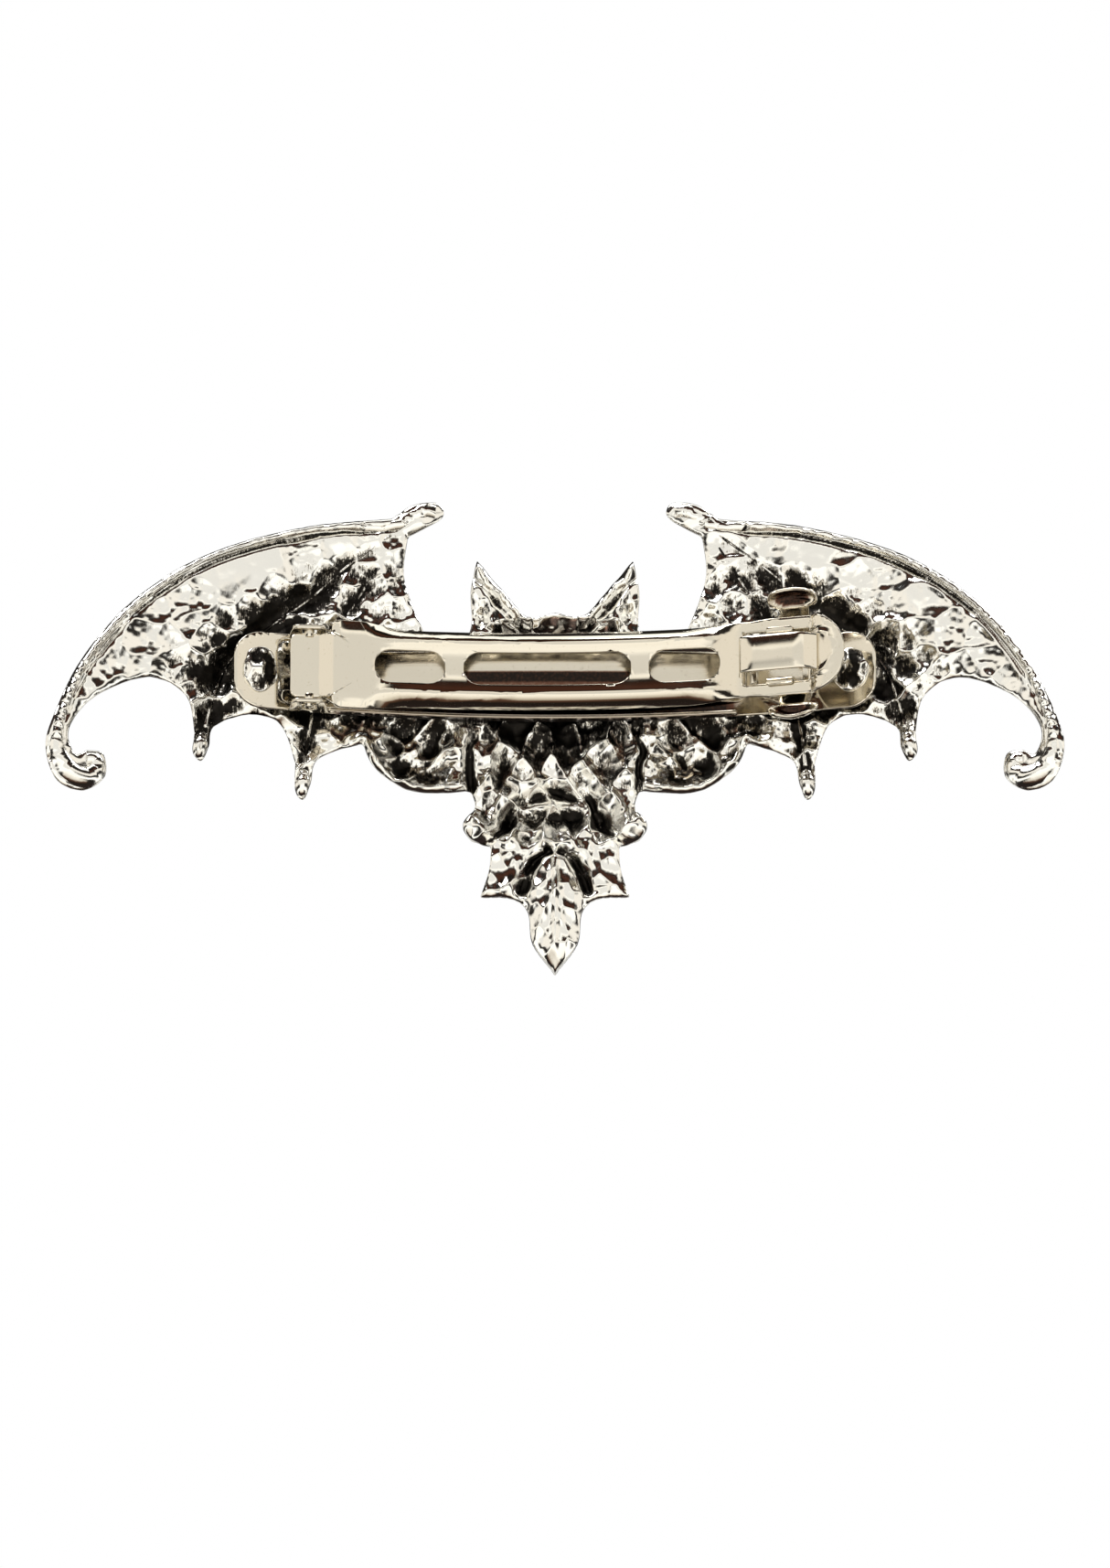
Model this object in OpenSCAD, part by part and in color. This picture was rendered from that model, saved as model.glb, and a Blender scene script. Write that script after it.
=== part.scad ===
// Sprung barrette that carries a cast bat ornament.
// +X runs along the clip, +Z points to the bat's head and +Y is the side that shows when worn.
// The origin is the middle of the space where the hair lies, between the base bar and the arm.

/* [Clip] */
// Length of the base bar
clip_l = 80; // [79:0.5:81]
// Width of the base bar
clip_w = 9.8; // [9.6:0.1:10]
// Radius of the bow, measured at the hair
bow_r = 105; // [104:0.5:106]
// Space between the base bar and the middle of the arm
gap = 6.3; // [6.2:0.1:6.4]
// Thickness of the base bar's sheet
base_t = 0.5; // [0.45:0.05:0.55]
// Height of the base bar's side flanges
flange_h = 1; // [0.8:0.1:1]
// Radius of the two holes that take the ornament's posts
post_hole_r = 1.6; // [1.55:0.05:1.7]
// Distance of each post from the middle, along X
post_x = 36.8; // [36.6:0.1:37]

/* [Arm] */
// Thickness of the arm's sheet
arm_t = 0.5; // [0.45:0.05:0.55]
// Width of the arm
arm_w = 9.6; // [9.4:0.1:9.8]
// Width of the arm's head, beside the hinge
head_w = 11.2; // [11:0.1:11.4]
// Radius of the arm's own bow
arm_r = 100; // [99.5:0.5:100.5]
// Width of the arm's three slots
slot_w = 4.2; // [4:0.1:4.4]
// Height of the raised bridge over the catch
bridge_h = 2.4; // [2.3:0.1:2.5]

/* [Springs] */
// Thickness of the tension spring
spring_t = 0.3; // [0.25:0.05:0.35]
// Width of the tension spring
spring_w = 6.4; // [6:0.2:6.6]
// Thickness of the catch
catch_t = 0.4; // [0.35:0.05:0.45]

/* [Ornament] */
// Thickness of the cast wings
wing_t = 1.8; // [1.7:0.1:2]
// Radius of the ornament's bow, flatter than the clip's
cast_r = 150; // [148:1:152]
// Wall left round the hollow back of the body
wall = 1.6; // [1.4:0.1:1.8]
// Radius of the two posts, which pass through the base bar
post_r = 1.45; // [1.4:0.05:1.5]

/* [Hidden] */
$fn = 360;
far = 60;
floor_r = bow_r + gap / 2;
back_r = floor_r + base_t;
half_w = clip_w / 2;
cast_y = 3 - cast_r;
cast_colour = [0.80, 0.79, 0.76];
plate_colour = [0.84, 0.79, 0.68];
spring_colour = [0.70, 0.67, 0.60];

// Hinge: the arm's two round ears turn in the windows of the base bar's lugs
hinge = [-30.6, -4.87];
ear_r = 0.6;
lug_h = 5.4;
lug_x = [-33.2, -28.3];
tail_slope = 8;

// Frame of the catch: U along the arm, H up from the base bar's floor
catch_x = 28.3;
catch_slope = 18;
catch_y = sqrt(floor_r * floor_r - catch_x * catch_x) - bow_r;
catch_a = asin(catch_x / floor_r);
rail_h = 8.02;
tab_h = 9;
window_u = [-2.6, 6.3];
rail_z = 3.3;
bridge_z = 2.3;
leg_root = [2.3, 0.5];
leg_neck = [6.5, 8.4];

// Middle of the arm's own bow
arm_x = -3.2;
arm_y = -gap / 2 - sqrt(arm_r * arm_r - arm_x * arm_x);
arm_x0 = -27.5;
arm_x1 = 21.2;

// A point of the arm's bow at a given X
function arm_at(x) = [x, arm_y + sqrt(arm_r * arm_r - (x - arm_x) * (x - arm_x))];
// A point given in the catch's frame, as X and Y
function from_catch(u, h) = [catch_x + u * cos(catch_slope) - h * sin(catch_slope),
                             catch_y - u * sin(catch_slope) - h * cos(catch_slope)];

// Smooth line through knots, with n steps between two knots, without its last point
function knot(p, i) = p[max(0, min(len(p) - 1, i))];
function through(a, b, c, d, t) =
    0.5 * (2 * b + (c - a) * t + (2 * a - 5 * b + 4 * c - d) * t * t
           + (3 * b - a - 3 * c + d) * t * t * t);
function smooth_line(p, n) =
    [for (i = [0 : len(p) - 2]) for (k = [0 : n - 1])
        through(knot(p, i - 1), knot(p, i), knot(p, i + 1), knot(p, i + 2), k / n)];

// ---- helpers -------------------------------------------------------------

// A flat shape in X and Z, made solid along Y
module along_y(y0, y1) {
    translate([0, y1, 0]) rotate([90, 0, 0]) linear_extrude(y1 - y0) children();
}

// A flat shape in X and Y, made solid along Z
module along_z(z0, z1) {
    translate([0, 0, z0]) linear_extrude(z1 - z0) children();
}

// Part of a ring about an upright axis, from x0 to x1 on its outer radius
module arc_sheet(middle, r0, r1, x0, x1, z0, z1) {
    a0 = asin((x0 - middle.x) / r1);
    a1 = asin((x1 - middle.x) / r1);
    translate([middle.x, middle.y, 0]) rotate([0, 0, 90 - a1])
        rotate_extrude(angle = a1 - a0) translate([r0, z0]) square([r1 - r0, z1 - z0]);
}

// The same, about the middle of the clip's bow
module bowed(r0, r1, x0, x1, z0, z1) {
    arc_sheet([0, -bow_r], r0, r1, x0, x1, z0, z1);
}

// Rectangle with round corners, without a hull, so that its corners stay true arcs
module round_box(l, w, r) {
    square([l - 2 * r, w], center = true);
    square([l, w - 2 * r], center = true);
    for (x = [-1, 1], y = [-1, 1])
        translate([x * (l / 2 - r), y * (w / 2 - r)]) circle(r);
}

// Slot with round ends
module slot(x0, x1, w) {
    translate([(x0 + x1) / 2, 0]) square([x1 - x0 - w, w], center = true);
    for (x = [x0 + w / 2, x1 - w / 2]) translate([x, 0]) circle(d = w);
}

// Bent sheet seen on edge: straight runs, and round joints a hair thicker than the sheet
module bent(points, t) {
    for (i = [0 : len(points) - 2]) {
        d = points[i + 1] - points[i];
        translate(points[i]) rotate(atan2(d.y, d.x)) translate([0, -t / 2])
            square([norm(d), t]);
    }
    for (p = points) translate(p) circle(d = 1.08 * t);
}

// Frame that stands on the base bar at angle a from the middle, its Y pointing outwards
module on_bow(a) {
    translate([0, -bow_r, 0]) rotate([0, 0, -a]) children();
}

// The catch's frame: X is U, and -Y is H
module in_catch() {
    translate([catch_x, catch_y, 0]) rotate([0, 0, -catch_slope]) children();
}

// ---- ornament ------------------------------------------------------------

// Right half of the outline, from the crown of the head round to the tip of the tail.
// Each smooth line ends where the next begins, and the joints are the sharp corners.
ear = [[0, 9.5], [3.5, 9], [6, 11.5], [9.8, 16]];
flank = [[9.8, 16], [10.6, 12], [10.5, 7.5], [12, 5], [15.5, 4.5]];
inner_edge = [[15.5, 4.5], [17.5, 9], [19, 14], [18.5, 19]];
claw = [[18.5, 19], [15, 21], [14, 22.4], [15, 23.6], [18, 23], [20.5, 21.2]];
leading = [[20.5, 21.2], [31.5, 19.5], [43, 15.3], [52, 8.8], [58.5, 0.5], [62, -7.5],
           [63, -12], [61.5, -16], [58.3, -16.8], [55.8, -14.8], [56, -12], [58, -11.7]];
curl = [[58, -11.7], [59.5, -12.3], [60.2, -9], [57, -4.6], [50.5, -1.4], [46, -3.3], [44.9, -8]];
spike_a = [[44.9, -8], [45, -10.5], [44, -11.5], [43.1, -9.5], [42.5, -6.8], [38, -5.1],
           [34.2, -6.3], [32.4, -11]];
spike_b = [[32.4, -11], [32.4, -14.5], [31.4, -15.7], [30.5, -13.5], [29.5, -10.3], [24, -8.2]];
hip = [[24, -8.2], [22.5, -11.3], [18.5, -14], [14, -14.3], [10.5, -13.8]];
foot = [[10.5, -13.8], [10, -16], [11.5, -18.2], [10.5, -20.1], [8, -21]];
skirt = [[8, -21], [8.2, -24], [9.3, -27.6]];
tail = [[9.3, -27.6], [5.5, -27.7], [3.4, -29.4], [2.8, -33.5], [0, -37.2]];
half_outline = [for (line = [ear, flank, inner_edge, claw, leading, curl, spike_a, spike_b,
                             hip, foot, skirt, tail])
                    each smooth_line(line, 2)];
outline = concat(half_outline, [[0, -37.2]],
                 [for (i = [len(half_outline) - 1 : -1 : 1])
                     [-half_outline[i].x, half_outline[i].y]]);

torso = [[6, 8], [7.4, 3], [8.6, -4], [8.4, -11], [7.4, -15], [8, -18], [7, -21], [6.4, -26]];
body_y = 1.8;

// Rounded body about an upright axis, grown by d
module torso_solid(d) {
    low = -26 - d;
    profile = concat([[0, 8 + d]], [for (p = torso) [p.x + d, max(p.y, low + 0.1)]], [[0, low]]);
    translate([0, body_y, 0]) rotate_extrude() polygon(profile);
}

// Everything that swells out of the flat of the casting, grown by d
module swellings(d) {
    torso_solid(d);
    translate([0, 3, 7]) sphere(5.6 + d);
    for (s = [-1, 1]) translate([s * 17, 0.5, -9.6]) sphere(5 + d);
    translate([0, 3, -37 - d / 2]) cylinder(h = 12 + d, r1 = 0.4 + d, r2 = 3.6 + d);
}

// The hollow of the casting, open at the back
module swelling_hollows() {
    torso_solid(-wall);
    translate([0, 2.2, 7]) sphere(5.6 - wall);
    for (s = [-1, 1]) translate([s * 17, -0.6, -9.6]) sphere(5 - wall);
}

module bat_ornament() {
    post_a = asin(post_x / floor_r);
    color(cast_colour) {
        difference() {
            union() {
                intersection() {
                    arc_sheet([0, cast_y], cast_r, cast_r + wing_t, -66, 66, -40, 26);
                    along_y(-30, 20) polygon(outline);
                }
                difference() {
                    swellings(0);
                    translate([0, cast_y, -far]) cylinder(h = 2 * far, r = cast_r + 0.4);
                }
            }
            swelling_hollows();
            bowed(back_r - 12, back_r + 0.3, -34, 34, -half_w - 0.5, half_w + 0.5);
        }
        for (s = [-1, 1]) on_bow(s * post_a) rotate([-90, 0, 0]) {
            translate([0, 0, back_r + 0.02]) cylinder(h = 2.2, r = 3);
            translate([0, 0, floor_r - 0.5]) cylinder(h = 3, r = post_r);
            translate([0, 0, floor_r - 0.72]) cylinder(h = 0.7, r = 2.3);
            translate([0, 0, floor_r - 1.2]) cylinder(h = 0.6, r = 1.5);
        }
    }
}

// ---- base bar ------------------------------------------------------------

module base_bar() {
    post_a = asin(post_x / floor_r);
    color(plate_colour) difference() {
        union() {
            intersection() {
                bowed(floor_r, back_r, -45, 45, -6, 6);
                along_y(-30, 20) round_box(clip_l, clip_w, 3.4);
            }
            for (z = [0.05 - half_w, half_w - base_t - 0.05])
                bowed(floor_r - flange_h, back_r - 0.05, -28.5, 22.8, z, z + base_t);
            for (z = [-half_w - 0.1, half_w + 0.1 - base_t]) intersection() {
                bowed(floor_r - lug_h, back_r - 0.05, -36, -24, z, z + base_t);
                translate([lug_x[0], -12, z]) cube([lug_x[1] - lug_x[0], 14, base_t]);
            }
            // two bent tabs that hold the catch's foot down
            on_bow(catch_a) for (s = [-1, 1]) {
                translate([s * 3.75 - 0.2, floor_r - 0.95, -1.2]) cube([0.4, 1.2, 2.4]);
                translate([s * 3.3 - 0.65, floor_r - 0.95, -1.2]) cube([1.3, 0.35, 2.4]);
            }
        }
        // opening that the arm's tail swings into
        along_y(-30, 20) translate([-31.4, 0]) round_box(6.4, 8, 1);
        // windows of the hinge
        translate([hinge.x - 0.85, hinge.y - 0.75, -far / 2]) cube([1.7, 3.6, far]);
        for (s = [-1, 1]) on_bow(s * post_a) rotate([-90, 0, 0])
            translate([0, 0, floor_r - 1]) cylinder(h = 3, r = post_hole_r);
    }
}

// ---- arm -----------------------------------------------------------------

// The arm's outline in X and Z
module arm_plan() {
    translate([-31.05, 0]) square([7.1, 8.2], center = true);
    polygon([[-27.7, -head_w / 2], [-24, -head_w / 2], [-19, -arm_w / 2], [-19, arm_w / 2],
             [-24, head_w / 2], [-27.7, head_w / 2]]);
    translate([-19.1, -arm_w / 2]) square([50.6, arm_w]);
    translate([30.75, 0]) circle(5);
}

module clasp_arm() {
    along_tail = [cos(tail_slope), sin(tail_slope)];
    u0 = window_u[0];
    u1 = window_u[1];
    tail = [hinge - 2.4 * along_tail, hinge + 1.5 * along_tail, arm_at(arm_x0)];
    color(plate_colour) {
        difference() {
            union() {
                intersection() {
                    union() {
                        arc_sheet([arm_x, arm_y], arm_r - arm_t / 2, arm_r + arm_t / 2,
                                  arm_x0, arm_x1, -6, 6);
                        along_z(-6, 6) bent(tail, arm_t);
                        along_z(-6, 6) bent([arm_at(arm_x1), from_catch(-3.4, rail_h),
                                             from_catch(u1 + 0.2, rail_h),
                                             from_catch(u1 + 0.9, tab_h),
                                             from_catch(12, tab_h)], arm_t);
                    }
                    along_y(-30, 10) arm_plan();
                }
                for (z = [-arm_w / 2, arm_w / 2 - arm_t])
                    arc_sheet([arm_x, arm_y], arm_r - arm_t / 2, arm_r + arm_t / 2 + 0.7,
                              -18, 20.5, z, z + arm_t);
            }
            along_y(-30, 10) {
                slot(-22.5, -13.7, slot_w);
                slot(-11.4, 9.5, slot_w);
                slot(11.7, 20.6, slot_w);
            }
            in_catch() translate([u0, -12, -rail_z]) cube([u1 - u0, 6, 2 * rail_z]);
        }
        along_z(-bridge_z, bridge_z)
            bent([from_catch(u0 - 0.3, rail_h), from_catch(u0 + 0.5, rail_h + bridge_h),
                  from_catch(u1 - 0.6, rail_h + bridge_h), from_catch(u1 + 0.9, tab_h)],
                 arm_t);
        // ears that turn in the lugs' windows
        translate([hinge.x, hinge.y, -5.4]) cylinder(h = 10.8, r = ear_r);
    }
}

// ---- springs -------------------------------------------------------------

module tension_spring() {
    bow = 506;
    rise = 0.03;
    half = 22.5;
    hw = spring_w / 2;
    seat_r = floor_r - 0.1;
    color(spring_colour) {
        mirror([0, 1, 0])
            arc_sheet([0, -rise - bow], bow - spring_t / 2, bow + spring_t / 2, -half, half,
                      -hw, hw);
        bowed(seat_r - spring_t, seat_r, -29, -half, -hw, hw);
        bowed(seat_r - spring_t, seat_r, half, 24, -hw, hw);
        for (z = [-3.9, 2.3]) {
            bowed(floor_r + 0.1, floor_r + 0.1 + spring_t, -34.2, -28.7, z, z + 1.6);
            bowed(seat_r - spring_t, floor_r + 0.1 + spring_t, -29, -28.7, z, z + 1.6);
        }
    }
}

module catch_foot() {
    color(spring_colour)
        bowed(floor_r - 0.05 - catch_t, floor_r - 0.05, catch_x - 3.3, catch_x + 3.3, -2.05, 2.05);
}

// Upper leg of the catch. Its root bends about an axis along U.
module catch_leg() {
    lean = leg_neck - leg_root;
    in_catch() {
        // bend at the root
        translate([-2.8, -leg_root.y, leg_root.x]) rotate([0, 90, 0])
            cylinder(h = 7, d = catch_t);
        intersection() {
            // flank and finger paddle, seen on edge in Z and H
            rotate([0, 90, 0]) rotate([0, 0, 180]) along_z(-4, 9) {
                bent([leg_root, leg_neck, leg_neck + [1, 0.9]], catch_t);
            }
            leg_plan();
        }
        // hook that stands in the window, with its barb over the rail
        translate([0.6, -8.85, 2.72]) cube([3.4, 7.6, catch_t]);
        translate([0.6, -8.85, 2.72]) cube([3.4, 0.45, 1.05]);
    }
}

// Extent of the leg in U, against its height
module leg_plan() {
    linear_extrude(12)
        polygon([[-2.8, 0], [4.5, 0], [5.8, -8.2], [7.2, -8.5], [7.2, -9.6],
                 [1, -9.6], [1, -8.5], [2.3, -8.2]]);
}

module catch_leg_upper() {
    color(spring_colour) catch_leg();
}

module catch_leg_lower() {
    color(spring_colour) mirror([0, 0, 1]) catch_leg();
}

bat_ornament();
base_bar();
clasp_arm();
tension_spring();
catch_foot();
catch_leg_upper();
catch_leg_lower();
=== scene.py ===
"""Looks of a sprung barrette that carries a cast bat ornament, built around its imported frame.

Sizes are in millimetres in the row frame, and meshes are brought to metres when they are made.
"""

import logging
import math
from collections.abc import Callable, Sequence
from dataclasses import dataclass, field
from enum import Enum

import bmesh
import bpy
import numpy as np
from mathutils import Matrix, Vector


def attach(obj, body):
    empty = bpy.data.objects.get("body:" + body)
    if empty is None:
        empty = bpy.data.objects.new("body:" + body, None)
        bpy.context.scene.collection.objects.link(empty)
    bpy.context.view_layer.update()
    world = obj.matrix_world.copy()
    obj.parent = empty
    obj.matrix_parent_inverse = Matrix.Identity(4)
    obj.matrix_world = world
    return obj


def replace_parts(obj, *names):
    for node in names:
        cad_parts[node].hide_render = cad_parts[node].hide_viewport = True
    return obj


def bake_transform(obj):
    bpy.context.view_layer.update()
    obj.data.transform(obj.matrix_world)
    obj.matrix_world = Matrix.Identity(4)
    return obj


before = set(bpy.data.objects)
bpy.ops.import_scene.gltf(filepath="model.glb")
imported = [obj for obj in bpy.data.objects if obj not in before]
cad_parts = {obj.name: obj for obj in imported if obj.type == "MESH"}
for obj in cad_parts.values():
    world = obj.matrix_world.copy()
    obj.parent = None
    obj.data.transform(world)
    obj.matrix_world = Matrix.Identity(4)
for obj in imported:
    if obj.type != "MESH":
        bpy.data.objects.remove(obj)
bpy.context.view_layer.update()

log = logging.getLogger("barrette")
MM = 0.001
Pair = tuple[float, float]
Array = np.ndarray
Socket = bpy.types.NodeSocket
Colour = tuple[float, float, float]
# Distance from a bone and share along it, by the bone's name
Nearest = dict[str, tuple[Array, Array]]


class Slot(str, Enum):
    """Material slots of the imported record."""

    CAST = "antique_silver"
    PLATE = "nickel_plate"
    SPRING = "spring_steel"


class Body(str, Enum):
    """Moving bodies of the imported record."""

    BASE = "base"
    ARM = "arm"
    SPRING = "spring"
    LEG_UPPER = "leg_upper"
    LEG_LOWER = "leg_lower"


# ---- numbers and lines -------------------------------------------------------------------


def ramp(value: Array, low: float, high: float) -> Array:
    """Smooth step from 0 at low to 1 at high."""
    t = np.clip((value - low) / (high - low), 0, 1)
    return t * t * (3 - 2 * t)


def hump(distance: Array, width: float) -> Array:
    """Bell of height 1 that falls off over width."""
    return np.exp(-((distance / width) ** 2))


def smooth_line(knots: Sequence[Pair], steps: int) -> Array:
    """Smooth line through knots.

    Args:
        knots: The points that the line passes through.
        steps: Points made for each stretch between two knots.

    Returns:
        The line's points, last knot included.
    """
    p = np.array([knots[0], *knots, knots[-1]], float)
    t = np.linspace(0, 1, steps, endpoint=False)[:, None]
    parts = []
    for a, b, c, d in zip(p, p[1:], p[2:], p[3:]):
        parts.append(
            0.5 * (2 * b + (c - a) * t + (2 * a - 5 * b + 4 * c - d) * t**2
                   + (3 * b - a - 3 * c + d) * t**3)
        )
    return np.vstack([*parts, p[-1:]])


def rounded(corners: Sequence[tuple[float, float, float]], steps: int = 7) -> Array:
    """Closed outline with a round at each corner.

    Args:
        corners: Each corner's two coordinates and its radius.
        steps: Points on each round.

    Returns:
        The outline's points in order.
    """
    out = []
    n = len(corners)
    for i, (x, y, r) in enumerate(corners):
        here = np.array([x, y])
        back = np.array(corners[i - 1][:2]) - here
        ahead = np.array(corners[(i + 1) % n][:2]) - here
        a, b = back / np.linalg.norm(back), ahead / np.linalg.norm(ahead)
        half = math.acos(float(np.clip(a @ b, -1, 1))) / 2
        if r <= 0 or half > 1.55:
            out.append(here)
            continue
        reach = min(r / math.tan(half), 0.49 * min(np.linalg.norm(back), np.linalg.norm(ahead)))
        r = reach * math.tan(half)
        middle = here + (a + b) / np.linalg.norm(a + b) * r / math.sin(half)
        start, end = here + a * reach - middle, here + b * reach - middle
        turn = math.atan2(start[0] * end[1] - start[1] * end[0], float(start @ end))
        for k in range(steps + 1):
            c, s = math.cos(turn * k / steps), math.sin(turn * k / steps)
            out.append(middle + [start[0] * c - start[1] * s, start[0] * s + start[1] * c])
    return np.array(out)


def distance_to(x: Array, z: Array, line: Array) -> tuple[Array, Array]:
    """Distance of points from an open line.

    Args:
        x: First coordinates.
        z: Second coordinates.
        line: The line's points.

    Returns:
        The distance, and the share of the line's length at the nearest point.
    """
    best = np.full(x.shape, 1e9)
    along = np.zeros(x.shape)
    lengths = np.linalg.norm(np.diff(line, axis=0), axis=1)
    total = lengths.sum()
    done = 0.0
    for (ax, az), (bx, bz), length in zip(line, line[1:], lengths):
        if length < 1e-9:
            continue
        dx, dz = (bx - ax) / length, (bz - az) / length
        t = np.clip((x - ax) * dx + (z - az) * dz, 0, length)
        d = np.hypot(x - ax - t * dx, z - az - t * dz)
        near = d < best
        best[near] = d[near]
        along[near] = (done + t[near]) / total
        done += length
    return best, along


def away_from(x: Array, z: Array, knots: Sequence[Pair], steps: int = 4) -> Array:
    """Distance of points from the smooth line through knots."""
    return distance_to(x, z, smooth_line(knots, steps))[0]


def mound(x: Array, z: Array, middle: Pair, size: Pair) -> Array:
    """Rounded mound of height 1 that falls off over two half sizes."""
    return np.exp(-(((x - middle[0]) / size[0]) ** 2) - ((z - middle[1]) / size[1]) ** 2)


def oblong(low: Pair, high: Pair, radii: Sequence[float], steps: int = 7) -> Array:
    """Four-cornered outline between two opposite corners, with a radius for each corner in turn."""
    (a, b), (c, d) = low, high
    return rounded([(x, y, r) for (x, y), r in zip(((a, b), (c, b), (c, d), (a, d)), radii)], steps)


class Relief:
    """Random but repeatable patterns over the face of a casting."""

    SIZE = 64

    def __init__(self, seed: int) -> None:
        """Draws the table that every pattern reads."""
        self.table = np.random.default_rng(seed).random((self.SIZE, self.SIZE, 4))

    def _look_up(self, ix: Array, iz: Array) -> Array:
        """The table's entries at whole-number places."""
        return self.table[ix % self.SIZE, iz % self.SIZE]

    def waves(self, x: Array, z: Array, size: float) -> Array:
        """Soft noise from 0 to 1 with features of the given size."""
        gx, gz = x / size, z / size
        ix, iz = np.floor(gx).astype(int), np.floor(gz).astype(int)
        fx, fz = gx - ix, gz - iz
        fx, fz = fx * fx * (3 - 2 * fx), fz * fz * (3 - 2 * fz)
        a, b = self._look_up(ix, iz)[..., 3], self._look_up(ix + 1, iz)[..., 3]
        c, d = self._look_up(ix, iz + 1)[..., 3], self._look_up(ix + 1, iz + 1)[..., 3]
        return (a * (1 - fx) + b * fx) * (1 - fz) + (c * (1 - fx) + d * fx) * fz

    def hammered(self, x: Array, z: Array, size: float, tilt: float) -> Array:
        """Planished marks that meet in sharp ridges.

        Args:
            x: First coordinates.
            z: Second coordinates.
            size: Distance between two marks.
            tilt: How far a mark may lean, as a share of its depth.

        Returns:
            Depth, about 1 in the middle of a mark and 0 or less at its edge.
        """
        gx, gz = x / size, z / size
        ix, iz = np.floor(gx).astype(int), np.floor(gz).astype(int)
        depth = np.full(x.shape, -1e9)
        for i in (-1, 0, 1):
            for k in (-1, 0, 1):
                r = self._look_up(ix + i, iz + k)
                dx = gx - (ix + i + 0.1 + 0.8 * r[..., 0])
                dz = gz - (iz + k + 0.1 + 0.8 * r[..., 1])
                lean = tilt * ((r[..., 2] - 0.5) * dx + (r[..., 3] - 0.5) * dz) * 2
                depth = np.maximum(depth, 1 - 1.6 * (dx * dx + dz * dz) + lean)
        return depth

    def tufts(self, x: Array, z: Array, wide: float, long: float) -> Array:
        """Rows of pointed tufts that overlap downwards.

        Args:
            x: First coordinates.
            z: Second coordinates, upwards.
            wide: Distance between two tufts in a row.
            long: Distance between two rows.

        Returns:
            Height, about 1 at a tuft's crest and near 0 between tufts.
        """
        gx, gz = x / wide, z / long
        iz0 = np.floor(gz).astype(int)
        height = np.zeros(x.shape)
        for k in (-1, 0, 1, 2):
            iz = iz0 + k
            shifted = gx - 0.5 * (iz % 2)
            ix0 = np.floor(shifted).astype(int)
            for i in (-1, 0, 1):
                ix = ix0 + i
                r = self._look_up(ix, iz)
                dx = shifted - (ix + 0.32 + 0.36 * r[..., 0])
                dz = gz - (iz + 0.35 + 0.3 * r[..., 1])
                dx = dx + (r[..., 2] - 0.5) * 0.5 * dz
                slim = 0.78 * np.clip(1 + 0.62 * dz, 0.2, 1.3)
                body = 1 - (np.abs(dx) / slim) ** 1.5 - np.abs(dz / 1.15) ** 2
                height = np.maximum(height, (0.8 + 0.4 * r[..., 3]) * body - 0.5 * dz * (body > -0.2))
        return np.clip(height, 0, 1.6)


# ---- meshes ------------------------------------------------------------------------------


def link(name: str, mesh: bpy.types.Mesh) -> bpy.types.Object:
    """Puts a mesh in the scene as an object at the origin."""
    made = bpy.data.objects.new(name, mesh)
    bpy.context.scene.collection.objects.link(made)
    return made


def finished(bm: bmesh.types.BMesh, name: str, outward: bool = True) -> bpy.types.Object:
    """Turns a bmesh in millimetres into an object in metres.

    Args:
        bm: The mesh, which is freed.
        name: The object's name.
        outward: Whether to turn all faces outwards first.

    Returns:
        The object, smooth shaded.
    """
    if outward:
        bmesh.ops.recalc_face_normals(bm, faces=bm.faces)
    bmesh.ops.transform(bm, matrix=Matrix.Scale(MM, 4), verts=bm.verts)
    for face in bm.faces:
        face.smooth = True
    mesh = bpy.data.meshes.new(name)
    bm.to_mesh(mesh)
    bm.free()
    return link(name, mesh)


def settle(made: bpy.types.Object) -> bpy.types.Object:
    """Applies an object's modifiers to its mesh."""
    graph = bpy.context.evaluated_depsgraph_get()
    mesh = bpy.data.meshes.new_from_object(made.evaluated_get(graph))
    made.modifiers.clear()
    old = made.data
    made.data = mesh
    bpy.data.meshes.remove(old)
    mesh.name = made.name
    return made


def places(made: bpy.types.Object) -> Array:
    """An object's vertices in millimetres."""
    points = np.empty(len(made.data.vertices) * 3, np.float32)
    made.data.vertices.foreach_get("co", points)
    return points.reshape(-1, 3).astype(float) / MM


def put(made: bpy.types.Object, points: Array) -> None:
    """Sets an object's vertices, given in millimetres."""
    made.data.vertices.foreach_set("co", (points * MM).astype(np.float32).ravel())
    made.data.update()


def join(name: str, parts: Sequence[bpy.types.Object]) -> bpy.types.Object:
    """Makes one object of several, which are removed."""
    bm = bmesh.new()
    for part in parts:
        bm.from_mesh(part.data)
        old = part.data
        bpy.data.objects.remove(part)
        bpy.data.meshes.remove(old)
    mesh = bpy.data.meshes.new(name)
    bm.to_mesh(mesh)
    bm.free()
    return link(name, mesh)


def flat_sheet(outline: Array, holes: Sequence[Array], cuts_a: Array, cuts_b: Array) -> bmesh.types.BMesh:
    """Flat sheet with holes, cut across so that it can be bent.

    Args:
        outline: Its outer line, in the sheet's two coordinates.
        holes: The lines of its holes.
        cuts_a: Places along the first coordinate where it is cut.
        cuts_b: Places along the second coordinate where it is cut.

    Returns:
        The sheet, lying in X and Y.
    """
    bm = bmesh.new()
    edges = []
    for loop in (outline, *holes):
        ring = [bm.verts.new((a, b, 0)) for a, b in loop]
        edges += [bm.edges.new((p, q)) for p, q in zip(ring, ring[1:] + ring[:1])]
    bmesh.ops.triangle_fill(bm, use_beauty=True, use_dissolve=False, edges=edges, normal=(0, 0, 1))
    for axis, cuts in ((Vector((1, 0, 0)), cuts_a), (Vector((0, 1, 0)), cuts_b)):
        for cut in cuts:
            bmesh.ops.bisect_plane(bm, geom=[*bm.verts, *bm.edges, *bm.faces], dist=0.015,
                                   plane_co=axis * float(cut), plane_no=axis)
    return bm


Mapper = Callable[[Array, Array], Array]


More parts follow.
